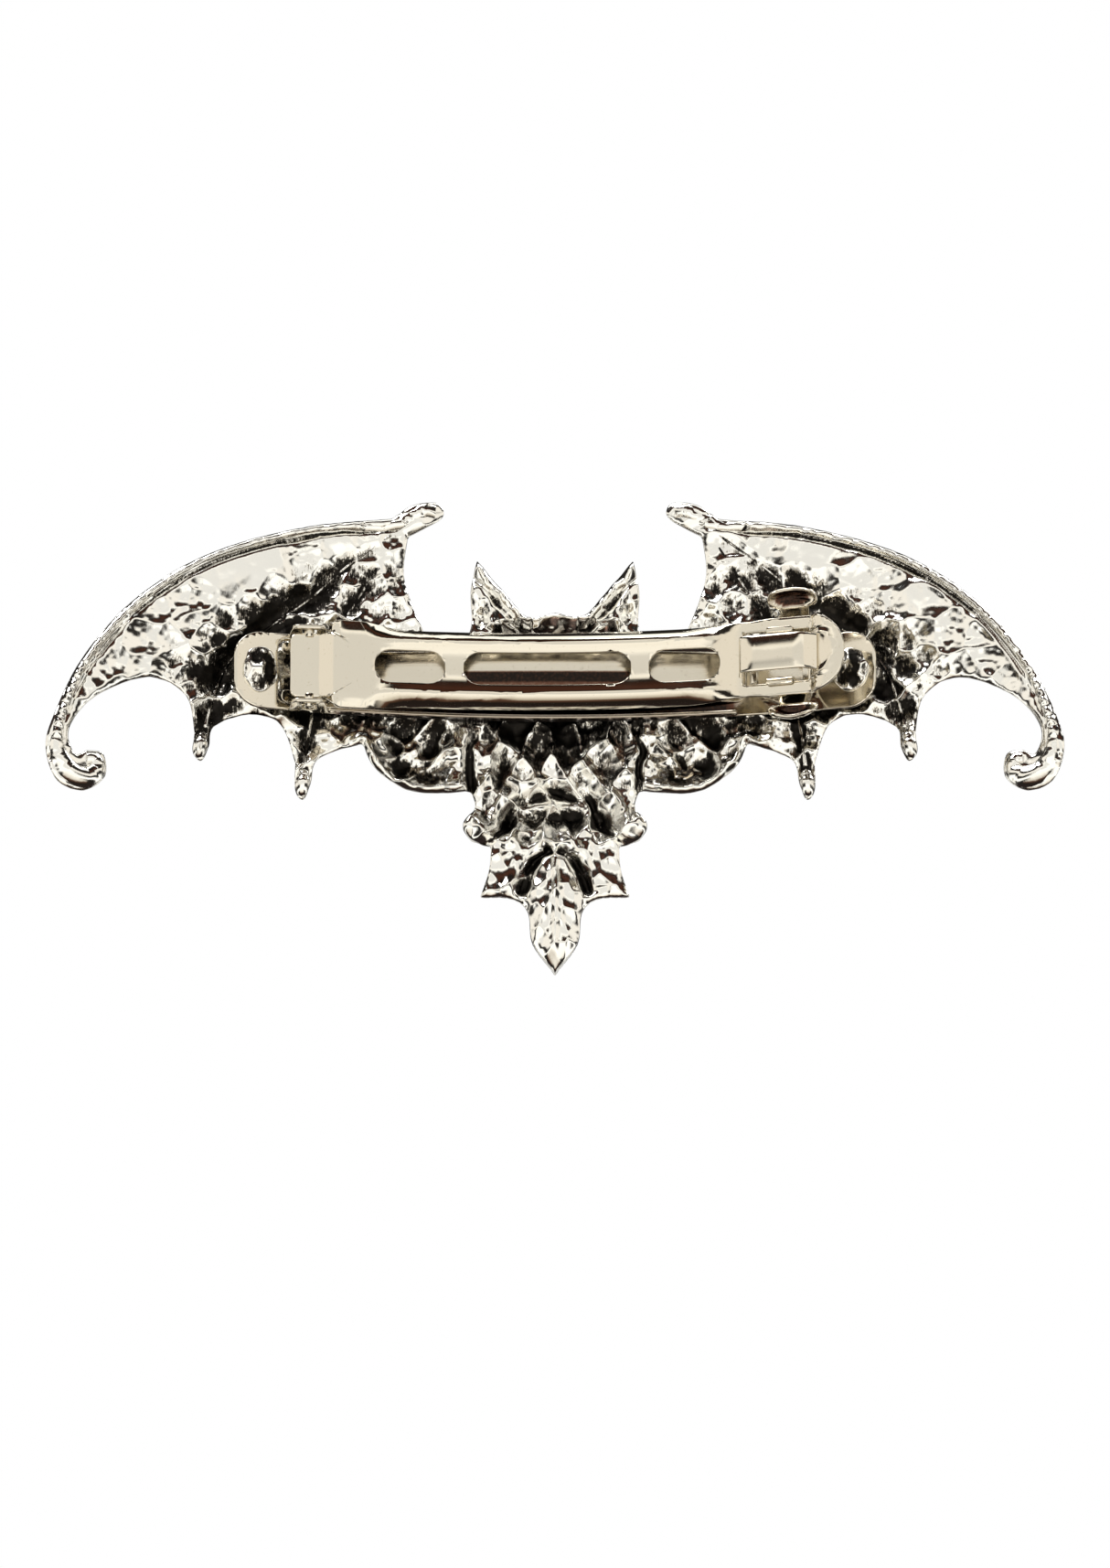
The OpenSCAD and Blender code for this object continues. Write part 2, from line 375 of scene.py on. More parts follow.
@dataclass
class Sheet:
    """Thin metal, cut flat and then bent and given its thickness."""

    outline: Array
    mapper: Mapper
    holes: Sequence[Array] = ()
    step: float = 0.8
    cuts_across: Sequence[float] = ()
    thickness: float = 0.5
    bevel: float = 0.07

    def build(self, name: str) -> bpy.types.Object:
        """Makes the sheet's mesh.

        Args:
            name: The object's name.

        Returns:
            The bent sheet with its thickness and broken edges.
        """
        low, high = self.outline.min(0), self.outline.max(0)
        along = np.arange(low[0] + self.step / 2, high[0], self.step)
        bm = flat_sheet(self.outline, self.holes, along, np.array(self.cuts_across))
        merge, sliver = 0.05, 0.005
        bmesh.ops.remove_doubles(bm, verts=bm.verts, dist=merge)
        bmesh.ops.dissolve_degenerate(bm, edges=bm.edges, dist=sliver)
        flat = np.array([v.co for v in bm.verts])
        for vert, place in zip(bm.verts, self.mapper(flat[:, 0], flat[:, 1])):
            vert.co = place
        made = finished(bm, name)
        wall = made.modifiers.new("thickness", "SOLIDIFY")
        wall.thickness, wall.offset, wall.use_quality_normals = self.thickness * MM, 0, True
        edge = made.modifiers.new("broken_edges", "BEVEL")
        edge.width, edge.segments = self.bevel * MM, 2
        edge.limit_method, edge.angle_limit = "ANGLE", math.radians(50)
        edge.use_clamp_overlap = False
        made.modifiers.new("even_shading", "WEIGHTED_NORMAL").weight = 60
        return settle(made)


class Profile:
    """A bent line seen on edge, with soft bends, that a sheet follows."""

    def __init__(self, points: Array, soften: float = 0.25, step: float = 0.05) -> None:
        """Lays the line.

        Args:
            points: Corners or close points of the line.
            soften: How far a bend is spread along the line.
            step: Distance between the points that are kept.
        """
        s = self._lengths(points)
        grid = np.arange(0, s[-1] + step, step)
        dense = np.column_stack([np.interp(grid, s, points[:, i]) for i in (0, 1)])
        reach = int(3 * soften / step)
        kernel = np.exp(-0.5 * (np.arange(-reach, reach + 1) * step / soften) ** 2)
        kernel /= kernel.sum()
        before = dense[0] + (dense[0] - dense[1]) * np.arange(reach, 0, -1)[:, None]
        after = dense[-1] + (dense[-1] - dense[-2]) * np.arange(1, reach + 1)[:, None]
        long = np.vstack([before, dense, after])
        self.p = np.column_stack([np.convolve(long[:, i], kernel, "valid") for i in (0, 1)])
        self.s = self._lengths(self.p)

    @staticmethod
    def _lengths(points: Array) -> Array:
        """Length of the line up to each point."""
        return np.concatenate([[0], np.cumsum(np.linalg.norm(np.diff(points, axis=0), axis=1))])

    @property
    def length(self) -> float:
        """The line's whole length."""
        return float(self.s[-1])

    def at(self, s: Array) -> tuple[Array, Array]:
        """The points at lengths s, and the unit normals to the left of the line."""
        here = np.column_stack([np.interp(s, self.s, self.p[:, i]) for i in (0, 1)])
        slope = np.gradient(self.p, axis=0)
        slope = np.column_stack([np.interp(s, self.s, slope[:, i]) for i in (0, 1)])
        slope /= np.linalg.norm(slope, axis=1)[:, None]
        return here, np.column_stack([-slope[:, 1], slope[:, 0]])

    def raised(self, s: Array, out: Array, z: Array) -> Array:
        """Places at lengths s and heights z, moved by out to the right of the line."""
        p, n = self.at(s)
        return np.column_stack([p[:, 0] - n[:, 0] * out, p[:, 1] - n[:, 1] * out, z])

    def length_at(self, x: Array) -> Array:
        """The lengths at which the line has the given first coordinates."""
        return np.interp(x, self.p[:, 0], self.s)


def tube(name: str, path: Array, radii: Array, sides: int = 16) -> bpy.types.Object:
    """Round bar along a line.

    Args:
        name: The object's name.
        path: Points in millimetres.
        radii: The radius at each point.
        sides: Sides of its section.

    Returns:
        The bar as a closed mesh.
    """
    curve = bpy.data.curves.new(name, "CURVE")
    curve.dimensions, curve.fill_mode = "3D", "FULL"
    curve.bevel_depth, curve.bevel_resolution, curve.use_fill_caps = MM, sides // 4 - 1, True
    spline = curve.splines.new("POLY")
    spline.points.add(len(path) - 1)
    for point, place, radius in zip(spline.points, path, radii):
        point.co = (*(np.array(place) * MM), 1)
        point.radius = float(radius)
    drawn = bpy.data.objects.new(name, curve)
    bpy.context.scene.collection.objects.link(drawn)
    mesh = bpy.data.meshes.new_from_object(drawn.evaluated_get(bpy.context.evaluated_depsgraph_get()))
    bpy.data.objects.remove(drawn)
    bpy.data.curves.remove(curve)
    bm = bmesh.new()
    bm.from_mesh(mesh)
    bpy.data.meshes.remove(mesh)
    bmesh.ops.remove_doubles(bm, verts=bm.verts, dist=1e-7)
    bmesh.ops.scale(bm, vec=Vector((1, 1, 1)) / MM, verts=bm.verts)
    return finished(bm, name)


def ball(middle: Sequence[float], size: Sequence[float], detail: int) -> bmesh.types.BMesh:
    """Ellipsoid of the given half sizes, in millimetres."""
    bm = bmesh.new()
    bmesh.ops.create_icosphere(bm, subdivisions=detail, radius=1)
    bmesh.ops.scale(bm, vec=Vector(size), verts=bm.verts)
    bmesh.ops.translate(bm, vec=Vector(middle), verts=bm.verts)
    return bm


def soften_rims(bm: bmesh.types.BMesh) -> None:
    """Breaks the sharp rims of turned parts."""
    rims = [e for e in bm.edges if e.calc_face_angle(0) > 1]
    bmesh.ops.bevel(bm, geom=rims, offset=0.15, segments=2, profile=0.5, affect="EDGES", material=-1)


def spread(made: bpy.types.Object, value: Array, rounds: int) -> Array:
    """Evens a value out over a mesh, by averaging each vertex with its neighbours.

    Args:
        made: The object.
        value: One number for each vertex.
        rounds: How often it is averaged.

    Returns:
        The evened value.
    """
    mesh = made.data
    ends = np.empty(len(mesh.edges) * 2, np.int32)
    mesh.edges.foreach_get("vertices", ends)
    a, b = ends[0::2], ends[1::2]
    n = len(mesh.vertices)
    count = np.maximum(np.bincount(a, minlength=n) + np.bincount(b, minlength=n), 1)
    for _ in range(rounds):
        total = np.bincount(a, value[b], n) + np.bincount(b, value[a], n)
        value = 0.5 * value + 0.5 * total / count
    return value


def store_darkness(made: bpy.types.Object, value: Array, name: str = "patina_and_shade") -> None:
    """Stores how black each vertex is, from 0 to 1, for a finish that reads the named attribute."""
    layer = made.data.attributes.new(name, "FLOAT", "POINT")
    layer.data.foreach_set("value", np.clip(value, 0, 1).astype(np.float32))


# ---- finishes ----------------------------------------------------------------------------


class Graph:
    """Short ways of laying out a node tree."""

    def __init__(self, tree: bpy.types.NodeTree) -> None:
        """Empties the tree."""
        self.tree = tree
        tree.nodes.clear()

    def add(self, kind: str, values: dict[str | int, object] | None = None,
            **settings: object) -> bpy.types.Node:
        """Adds a node.

        Args:
            kind: The node's type.
            values: Constants for its inputs, or outputs of other nodes to link to them.
            settings: Its own properties.

        Returns:
            The node.
        """
        node = self.tree.nodes.new(kind)
        for key, value in settings.items():
            setattr(node, key, value)
        for key, value in (values or {}).items():
            if isinstance(value, bpy.types.NodeSocket):
                self.tree.links.new(value, node.inputs[key])
            else:
                node.inputs[key].default_value = value
        return node

    def maths(self, operation: str, a: object, b: object = 0.0, clamp: bool = False) -> Socket:
        """One step of arithmetic on two numbers or outputs."""
        return self.add("ShaderNodeMath", {0: a, 1: b}, operation=operation, use_clamp=clamp).outputs[0]

    def plus(self, a: object, b: object, clamp: bool = False) -> Socket:
        """The sum of two numbers or outputs."""
        return self.maths("ADD", a, b, clamp)

    def times(self, a: object, b: object, clamp: bool = False) -> Socket:
        """The product of two numbers or outputs."""
        return self.maths("MULTIPLY", a, b, clamp)

    def mixed(self, share: object, a: object, b: object) -> Socket:
        """The colour that runs from a to b as the share grows."""
        return self.add("ShaderNodeMix", {"Factor": share, 6: a, 7: b}, data_type="RGBA").outputs[2]

    def spanned(self, value: Socket, low: float, high: float, start: float = 0.0, end: float = 1.0) -> Socket:
        """The value, brought from the span between low and high to the one between start and end."""
        ends = {"Value": value, "From Min": low, "From Max": high, "To Min": start, "To Max": end}
        return self.add("ShaderNodeMapRange", ends).outputs[0]

    def colours(self, factor: Socket, stops: Sequence[tuple[float, Colour]]) -> Socket:
        """A colour that runs through stops, each a place and a colour."""
        node = self.add("ShaderNodeValToRGB", {"Fac": factor})
        band = node.color_ramp
        while len(band.elements) < len(stops):
            band.elements.new(0.5)
        for element, (place, colour) in zip(band.elements, stops):
            element.position = place
            element.color = (*colour, 1)
        return node.outputs["Color"]

    def attribute(self, name: str) -> Socket:
        """The number that a piece stores at each vertex under a name."""
        return self.add("ShaderNodeAttribute", attribute_name=name).outputs["Fac"]

    def noise(self, place: Socket, scale: float, detail: float = 3, rough: float = 0.6) -> Socket:
        """Cloudy noise of a scale in cells for each metre."""
        values = {"Vector": place, "Scale": scale, "Detail": detail, "Roughness": rough}
        return self.add("ShaderNodeTexNoise", values).outputs["Fac"]

    def own_place(self) -> Socket:
        """The piece's own coordinates."""
        return self.add("ShaderNodeTexCoord").outputs["Object"]

    def stretched(self, scale: Sequence[float], turn: Sequence[float] = (0, 0, 0)) -> Socket:
        """The piece's own coordinates, scaled along its axes."""
        values = {"Vector": self.own_place(), "Scale": scale, "Rotation": turn}
        return self.add("ShaderNodeMapping", values).outputs[0]

    def metal(self, colour: Socket, rough: Socket, height: Socket, depth: float, strength: float) -> None:
        """Ends the tree with bare metal.

        Args:
            colour: Its colour.
            rough: Its roughness.
            height: Fine relief, from 0 to 1.
            depth: What a height of 1 stands for, in metres.
            strength: How far the relief counts.
        """
        bump = self.add("ShaderNodeBump", {"Height": height, "Distance": depth, "Strength": strength})
        shader = self.add("ShaderNodeBsdfPrincipled", {"Base Color": colour, "Metallic": 1.0,
                                                       "Roughness": rough, "Normal": bump.outputs[0]})
        self.add("ShaderNodeOutputMaterial", {"Surface": shader.outputs[0]})


def new_material(name: str) -> tuple[bpy.types.Material, Graph]:
    """An empty material and its node tree."""
    made = bpy.data.materials.new(name)
    made.use_nodes = True
    return made, Graph(made.node_tree)


@dataclass(frozen=True)
class AntiqueSilver:
    """Cast silver plate with blackened recesses, and painted shade where a piece stores it."""

    bright: Colour = (0.93, 0.92, 0.88)
    worn: Colour = (0.42, 0.39, 0.34)
    black: Colour = (0.018, 0.016, 0.014)
    gloss: float = 0.10
    dull: float = 0.42

    def material(self) -> bpy.types.Material:
        """Makes the material, which reads the piece's stored blackening and painted shade."""
        made, net = new_material("antique_silver")
        place = net.own_place()
        fine = net.noise(place, 2600, 5, 0.75)
        strokes = net.noise(net.stretched((5200, 5200, 900), (0, 0.5, 0)), 1.0, 4, 0.7)
        coarse = net.noise(place, 700, 3)
        grain = net.plus(net.times(fine, 0.45), net.times(strokes, 0.55))
        black = net.plus(net.attribute("patina_and_shade"), net.times(net.maths("SUBTRACT", grain, 0.5), 1.5))
        black = net.plus(black, net.times(net.maths("SUBTRACT", coarse, 0.5), 0.3), True)
        colour = net.colours(black, [(0.46, self.bright), (0.56, self.worn), (0.64, self.black)])
        rough = net.spanned(black, 0.4, 0.8, self.gloss, self.dull)
        net.metal(colour, rough, net.plus(net.times(fine, 0.5), strokes), 0.00003, 0.35)
        return made


@dataclass(frozen=True)
class PlatedSheet:
    """Bright plate on pressed sheet, with faint rolling lines, specks and painted shade."""

    name: str
    colour: Colour
    speck: Colour
    gloss: float
    lines: float
    # Colours of the painted shade
    brown: Colour = (0.13, 0.062, 0.04)
    black: Colour = (0.02, 0.016, 0.014)

    def material(self) -> bpy.types.Material:
        """Makes the material, whose colour turns brown and then black with the painted shade that the piece
        stores.
        """
        made, net = new_material(self.name)
        place = net.own_place()
        rolled = net.noise(net.stretched((120, 5000, 5000)), 1.0, 3)
        cloud = net.noise(place, 260, 4)
        specks = net.noise(place, 3400, 2, 0.5)
        spots = net.times(net.spanned(specks, 0.66, 0.76), 0.5)
        colour = net.mixed(spots, (*self.colour, 1), (*self.speck, 1))
        # Painted shade: the stored amount darkens the plate to brown and then to black
        dark = net.times(net.attribute("painted_shade"), net.plus(net.times(specks, 0.5), 0.75), True)
        colour = net.mixed(net.times(dark, 1.6, True), colour, (*self.brown, 1))
        blackest = net.times(net.maths("SUBTRACT", dark, 0.62), 2.6, True)
        colour = net.mixed(blackest, colour, (*self.black, 1))
        mottle = net.plus(net.times(cloud, 0.7), net.times(rolled, 0.3))
        rough = net.spanned(mottle, 0.3, 0.75, self.gloss, self.gloss + 0.09)
        uneven = net.plus(net.times(rolled, self.lines), net.times(cloud, 0.8))
        net.metal(colour, rough, uneven, 0.00002, 0.16)
        return made


NICKEL = PlatedSheet("nickel_plate", (0.775, 0.724, 0.62), (0.55, 0.47, 0.36), 0.05, 0.35)
STEEL = PlatedSheet("spring_steel", (0.72, 0.67, 0.57), (0.40, 0.35, 0.28), 0.08, 0.8)


def dress(made: bpy.types.Object, material: bpy.types.Material, body: Body) -> bpy.types.Object:
    """Gives a piece its material and its body.

    Args:
        made: The piece, in place.
        material: Its finish.
        body: The body that it moves with.

    Returns:
        The piece.
    """
    made.data.materials.clear()
    made.data.materials.append(material)
    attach(made, body.value)
    log.info("%s: %d vertices, on %s", made.name, len(made.data.vertices), body.value)
    return made


# ---- ornament ----------------------------------------------------------------------------


@dataclass
class BatCasting:
    """The cast bat: two webbed wings on one furry body, hollow at the back."""

    silver: bpy.types.Material
    cast_r: float = 150.0
    cast_y: float = -147.0
    wing_t: float = 1.8
    blank_half: float = 0.9
    least_t: float = 0.9
    edge_r: float = 0.9
    wing_voxel: float = 0.2
    body_voxel: float = 0.16
    split: float = 10.6
    lap: float = 0.3
    bow_r: float = 105.0
    floor_r: float = 108.15
    bar_r: float = 108.65
    clip_half_w: float = 4.9
    post_x: float = 36.8
    # Right half of the outline, from the crown of the head round to the tip of the tail
    ear: tuple[Pair, ...] = ((0, 9.5), (3.5, 9), (6, 11.5), (9.8, 16))
    flank: tuple[Pair, ...] = ((9.8, 16), (10.6, 12), (10.5, 7.5), (12, 5), (15.5, 4.5))
    inner_edge: tuple[Pair, ...] = ((15.5, 4.5), (17.5, 9), (19, 14), (18.5, 19))
    claw: tuple[Pair, ...] = ((18.5, 19), (15, 21), (14, 22.4), (15, 23.6), (18, 23), (20.5, 21.2))
    leading: tuple[Pair, ...] = (
        (20.5, 21.2), (31.5, 19.5), (43, 15.3), (52, 8.8), (58.5, 0.5), (62, -7.5),
        (63, -12), (61.5, -16), (58.3, -16.8), (55.8, -14.8), (56, -12), (58, -11.7))
    trailing: tuple[Pair, ...] = (
        (58, -11.7), (59.5, -12.3), (60.2, -9), (57, -4.6), (50.5, -1.4), (46, -3.3), (44.9, -8))
    spike_a: tuple[Pair, ...] = (
        (44.9, -8), (45, -10.5), (44, -11.5), (43.1, -9.5), (42.5, -6.8), (38, -5.1),
        (34.2, -6.3), (32.4, -11))
    spike_b: tuple[Pair, ...] = (
        (32.4, -11), (32.4, -14.5), (31.4, -15.7), (30.5, -13.5), (29.5, -10.3), (24, -8.2))
    hip: tuple[Pair, ...] = ((24, -8.2), (22.5, -11.3), (18.5, -14), (14, -14.3), (10.5, -13.8))
    foot: tuple[Pair, ...] = ((10.5, -13.8), (10, -16), (11.5, -18.2), (10.5, -20.1), (8, -21))
    skirt: tuple[Pair, ...] = ((8, -21), (8.2, -24), (9.3, -27.6))
    tail: tuple[Pair, ...] = ((9.3, -27.6), (5.5, -27.7), (3.4, -29.4), (2.8, -33.5), (0, -37.2))
    # Bones of the wing, from the wrist outwards
    bone_a: tuple[Pair, ...] = (
        (20.6, 19.0), (26.9, 14.2), (30.9, 10.5), (36.9, 5.6), (40.9, 1.5), (42.9, -3.9), (44.0, -9))
    bone_b: tuple[Pair, ...] = (
        (20.6, 17.4), (24.7, 10.8), (27.2, 6.0), (29.3, 0), (30.8, -7), (31.4, -13))
    # Raised bone along the leading edge, from the claw round into the curl, and its radius there
    cord_line: tuple[Pair, ...] = (
        (15.1, 22.2), (16.6, 22.3), (18.9, 21.0), (20.6, 20.3), (31.4, 18.9), (42.8, 14.8),
        (51.6, 8.4), (58.0, 0.2), (61.2, -7.6), (61.7, -11.8), (60.4, -14.5), (58.4, -15.2),
        (57.0, -14.2), (57.2, -12.9), (58.2, -12.9))
    cord_radii: tuple[float, ...] = (
        0.9, 1.15, 1.0, 0.85, 0.62, 0.58, 0.58, 0.6, 0.75, 1.15, 1.45, 1.45, 1.3, 1.1, 0.8)
    # Half width of the torso, from its foot up
    torso_z: tuple[float, ...] = (-27, -26, -21, -18, -15, -11, -4, 3, 8, 9)
    torso_w: tuple[float, ...] = (0.1, 6.4, 7.0, 8.0, 7.4, 8.4, 8.6, 7.4, 6.0, 0.1)
    # Half width of the tail feather, from its tip up
    feather_z: tuple[float, ...] = (-37.2, -35.5, -33.5, -30, -27, -24, -22.5, -21.5)
    feather_w: tuple[float, ...] = (0.2, 2.0, 3.0, 3.4, 3.5, 2.6, 1.7, 0.2)
    relief: dict[int, Relief] = field(default_factory=lambda: {-1: Relief(11), 1: Relief(23)})

    def lines(self) -> dict[str, Array]:
        """The smooth lines of the right half, by name."""
        names = ("ear", "flank", "inner_edge", "claw", "leading", "trailing", "spike_a", "spike_b",
                 "hip", "foot", "skirt", "tail")
        return {n: smooth_line(getattr(self, n), 6) for n in names}

    def half_outline(self) -> Array:
        """The right half of the outline as one line."""
        parts = [line[:-1] for line in self.lines().values()]
        return np.vstack([*parts, [[0, self.tail[-1][1]]]])

    def blank(self, name: str, low: float, high: float, voxel: float) -> bpy.types.Object:
        """Flat plate with the bat's outline, between two planes across X.

        Args:
            name: The object's name.
            low: Where it starts.
            high: Where it ends.
            voxel: Distance between the points of its mesh.

        Returns:
            The plate as an even mesh.
        """
        half = self.half_outline()
        outline = np.vstack([half, half[-2:0:-1] * [-1, 1]])
        bm = flat_sheet(outline, (), (), ())
        for place, away in ((low, (-1, 0, 0)), (high, (1, 0, 0))):
            bmesh.ops.bisect_plane(bm, geom=[*bm.verts, *bm.edges, *bm.faces], dist=1e-4,
                                   plane_co=(place, 0, 0), plane_no=away, clear_outer=True)
        bmesh.ops.rotate(bm, matrix=Matrix.Rotation(math.radians(90), 3, "X"), verts=bm.verts)
        bmesh.ops.translate(bm, vec=(0, -self.blank_half, 0), verts=bm.verts)
        grown = bmesh.ops.extrude_face_region(bm, geom=bm.faces[:])["geom"]
        moved = [v for v in grown if isinstance(v, bmesh.types.BMVert)]
        bmesh.ops.translate(bm, vec=(0, 2 * self.blank_half, 0), verts=moved)
        bmesh.ops.triangulate(bm, faces=bm.faces)
        made = finished(bm, name)
        even = made.modifiers.new("even", "REMESH")
        even.mode, even.voxel_size, even.use_smooth_shade = "VOXEL", voxel * MM, True
        return settle(made)

    def plate_y(self, x: Array) -> Array:
        """Place along Y of the bowed plate's back, before it gets its relief."""
        return self.cast_y + np.sqrt(self.cast_r**2 - x**2)

    def post_turn(self, side: int) -> float:
        """How far round the bow a post stands, in radians."""
        return side * math.asin(self.post_x / self.floor_r)

    def bones(self, x: Array, z: Array) -> Nearest:
        """Distance from each of the wing's bones, and the share along it."""
        aside = np.abs(x)
        found = {n: distance_to(aside, z, smooth_line(getattr(self, n), 5)) for n in ("bone_a", "bone_b")}
        found["leading"] = distance_to(aside, z, smooth_line(self.leading[:7], 5))
        return found

    def dents(self, x: Array, z: Array) -> Array:
        """Hammer marks of the wings' backs, in rows along the long finger."""
        aside = np.abs(x)
        turn = math.radians(46)
        u = aside * math.cos(turn) - z * math.sin(turn)
        v = aside * math.sin(turn) + z * math.cos(turn)
        marks = {side: relief.hammered(u / 1.2, v, 2.7, 0.9) + 0.22 * relief.hammered(u + 5, v + 9, 1.2, 0.8)
                 for side, relief in self.relief.items()}
        return np.where(x < 0, marks[-1], marks[1])

    def back(self, x: Array, z: Array, bones: Nearest) -> Array:
        """The back face, which lies against the clip.

        Args:
            x: Places along the clip.
            z: Places upwards.
            bones: What bones() gives for them.

        Returns:
            The face's place along Y.
        """
        aside = np.abs(x)
        wing = ramp(aside, 10.5, 12.5)
        y = self.plate_y(x)
        # Hammered skin of the wings, calmer beside the leading edge and lively again at the tip
        calm = 0.08 + 0.92 * ramp(bones["leading"][0] - 0.05 * (aside - 30), 3.5, 8.5)
        patchy = ramp(self.relief[1].waves(x + 90, z, 4.5), 0.35, 0.7)
        lively = np.maximum(0.5 * patchy, 0.5 * ramp(aside, 42, 50) * ramp(bones["leading"][0], 1.6, 2.6))
        y += wing * 0.74 * self.dents(x, z) * np.maximum(calm, lively)
        y += wing * 0.3 * (self.relief[-1].waves(x, z, 6.0) - 0.5)
        # Valley behind each finger, and a groove beside the leading bone
        for name, depth, wide in (("bone_a", 1.5, 2.6), ("bone_b", 0.9, 1.4)):
            d, along = bones[name]
            size = ramp(along, -0.1, 0.55) * (1 - 0.6 * ramp(along, 0.85, 1.0))
            y += wing * size * depth * hump(d, wide * (0.45 + 0.55 * np.clip(along, 0, 1)))
        y += wing * 0.4 * hump(bones["leading"][0] - 1.35, 0.3)
        # Hollow of the body, with a pocket behind each tuft of fur
        width = np.interp(z, self.torso_z, self.torso_w) + 1.6
        inside = np.clip(1 - (x / np.maximum(width, 0.1)) ** 2, 0, 1) ** 0.8
        deep = np.interp(z, (-27, -24, -20, -16, -12, -5, 6, 9), (0.0, 0.5, 1.0, 1.7, 2.6, 3.4, 3.0, 0))
        y += deep * inside
        bent = 1.6 * (self.relief[-1].waves(x, z, 5.0) - 0.5)
        fur = self.relief[1].tufts(x + bent, z + 0.5 * aside + bent, 4.4, 4.0)
        fine = self.relief[-1].hammered(x, z, 1.7, 1.4)
        furry = ramp(z, -21.5, -19.5) * (1 - ramp(z, 5, 8)) * (1 - ramp(aside, 10.2, 11.4))
        y += (1.7 * fur - 1.1 + 0.2 * fine) * furry
        # Arch and pit above the tail
        arch = ((-5.8, -17.6), (-4.0, -14.8), (0, -13.4), (4.0, -14.6), (5.8, -17.4))
        y += 1.5 * hump(away_from(x, z, arch, 5), 1.0)
        y += 1.5 * np.exp(-((x / 5.2) ** 4) - ((z + 16.8) / 1.5) ** 2)
        y += self._tail_back(x, z)
        y += self._hip_back(x, z)
        y += self._ear_back(x, z)
        # Small lobes beside the skirt
        y -= 0.9 * mound(aside, z, (9.2, -18.6), (1.9, 1.4))
        y += 0.8 * hump(away_from(aside, z, ((5.6, -17.8), (8, -20.2), (9.5, -21))), 0.5)
        # Nothing reaches into the base bar
        clear = -self.bow_r + np.sqrt(self.bar_r**2 - x**2) + 0.25
        under = (aside < 41.5) & (np.abs(z) < self.clip_half_w + 0.6)
        return np.where(under, np.maximum(y, clear), y)

    def _tail_back(self, x: Array, z: Array) -> Array:
        """The tail feather, which lies over the skirt's two flaps."""
        width = np.interp(z, self.feather_z, self.feather_w)
        off = np.abs(x) / np.maximum(width, 0.15)
        leaf = np.sqrt(np.clip(1 - off**2, 0, 1)) * ramp(z, -37.5, -34) * (1 - ramp(z, -22.6, -21.4))
        facets = self.relief[1].hammered(x * 1.25, z * 0.7 + 0.3 * np.abs(x), 1.5, 1.6)
        low = 1 - ramp(z, -21.5, -20)
        beside = hump(np.abs(x) - width - 0.7, 0.8) * ramp(z, -28, -26.5) * low
        spine = 0.35 * hump(np.abs(x), 0.35) * ramp(z, -36, -33) * low * (leaf > 0.1)
        return 0.3 * facets * low - 1.0 * leaf + 1.2 * beside - spine

    def _hip_back(self, x: Array, z: Array) -> Array:
        """Bowl of each haunch, with a rolled rim and pockets."""
        aside = np.abs(x)
        d = np.hypot(aside - 17.2, (z + 8.6) * 1.05)
        pockets = self.relief[-1].tufts(aside + 3 + 0.3 * z, z, 4.6, 4.2)
        rim = hump(away_from(aside, z, self.hip, 5) - 0.6, 0.75)
        bowl = 1 - ramp(d, 2.0, 5.6)
        return (1.5 * bowl + 1.3 * (pockets - 0.6) * (1 - ramp(d, 4.6, 6.0)) - 0.9 * rim * (aside > 11)
                + 1.3 * hump(aside - 10.6 - 0.8 * (self.relief[1].waves(x, z, 2.2) - 0.5), 0.7)
                * ramp(z, -15, -13) * (1 - ramp(z, -6, -4)))

    def _ear_back(self, x: Array, z: Array) -> Array:
        """Folds on the back of each ear and bumps on the crown."""
        aside = np.abs(x)
        on = ramp(z, 5.5, 8.0) * (aside < 12)
        d = away_from(aside, z, self.ear[1:], 5)
        cord = 0.12 * self.relief[1].hammered(x * 1.4, z * 1.4, 0.8, 1.2)
        band = (cord - 0.4) * hump(d - 0.55, 0.45) + 0.7 * hump(d - 1.6, 0.42)
        fold = away_from(aside, z, ((7.6, 6.5), (8.2, 10), (9.5, 14.6)))
        side = 0.7 * mound(aside, z, (9.4, 8.6), (0.9, 1.6))
        crown = 0.5 * self.relief[1].hammered(x, z, 3.1, 1.3) * (aside < 4.5)
        return on * (band * (aside > 2.8) - 0.75 * hump(fold, 0.7) + side + crown
                     + 0.4 * self.relief[-1].hammered(x, z, 1.9, 1.3))

    def front(self, x: Array, z: Array, bones: Nearest, edge: Array) -> Array:
        """The decorative face.

        Args:
            x: Places along the clip.
            z: Places upwards.
            bones: What bones() gives for them.
            edge: Distance from the outline.

        Returns:
            The face's place along Y.
        """
        aside = np.abs(x)
        plate = self.plate_y(x) + self.wing_t
        nearest = np.minimum(np.minimum(bones["bone_a"][0], bones["bone_b"][0]), bones["leading"][0])
        wing = ramp(aside, 10.5, 13)
        # Membranes, which sink between raised bones
        y = plate - wing * 0.55 * ramp(nearest, 0.8, 4.5)
        for name, high, wide in (("bone_a", 1.25, 0.95), ("bone_b", 1.1, 0.85)):
            d, along = bones[name]
            knuckle = 1 + 0.25 * hump(along - 0.03, 0.05)
            y += wing * high * (1 - 0.35 * along) * knuckle * hump(d, wide * (1.15 - 0.35 * along))
        creases = np.abs(self.relief[1].waves(aside * 0.7 + z * 0.7, (z - aside) * 0.3, 2.2) - 0.5)
        y += wing * 0.22 * (1 - ramp(creases, 0.0, 0.2)) * ramp(nearest, 0.9, 2.2)
        y += wing * 0.05 * self.relief[-1].waves(x, z, 1.1)
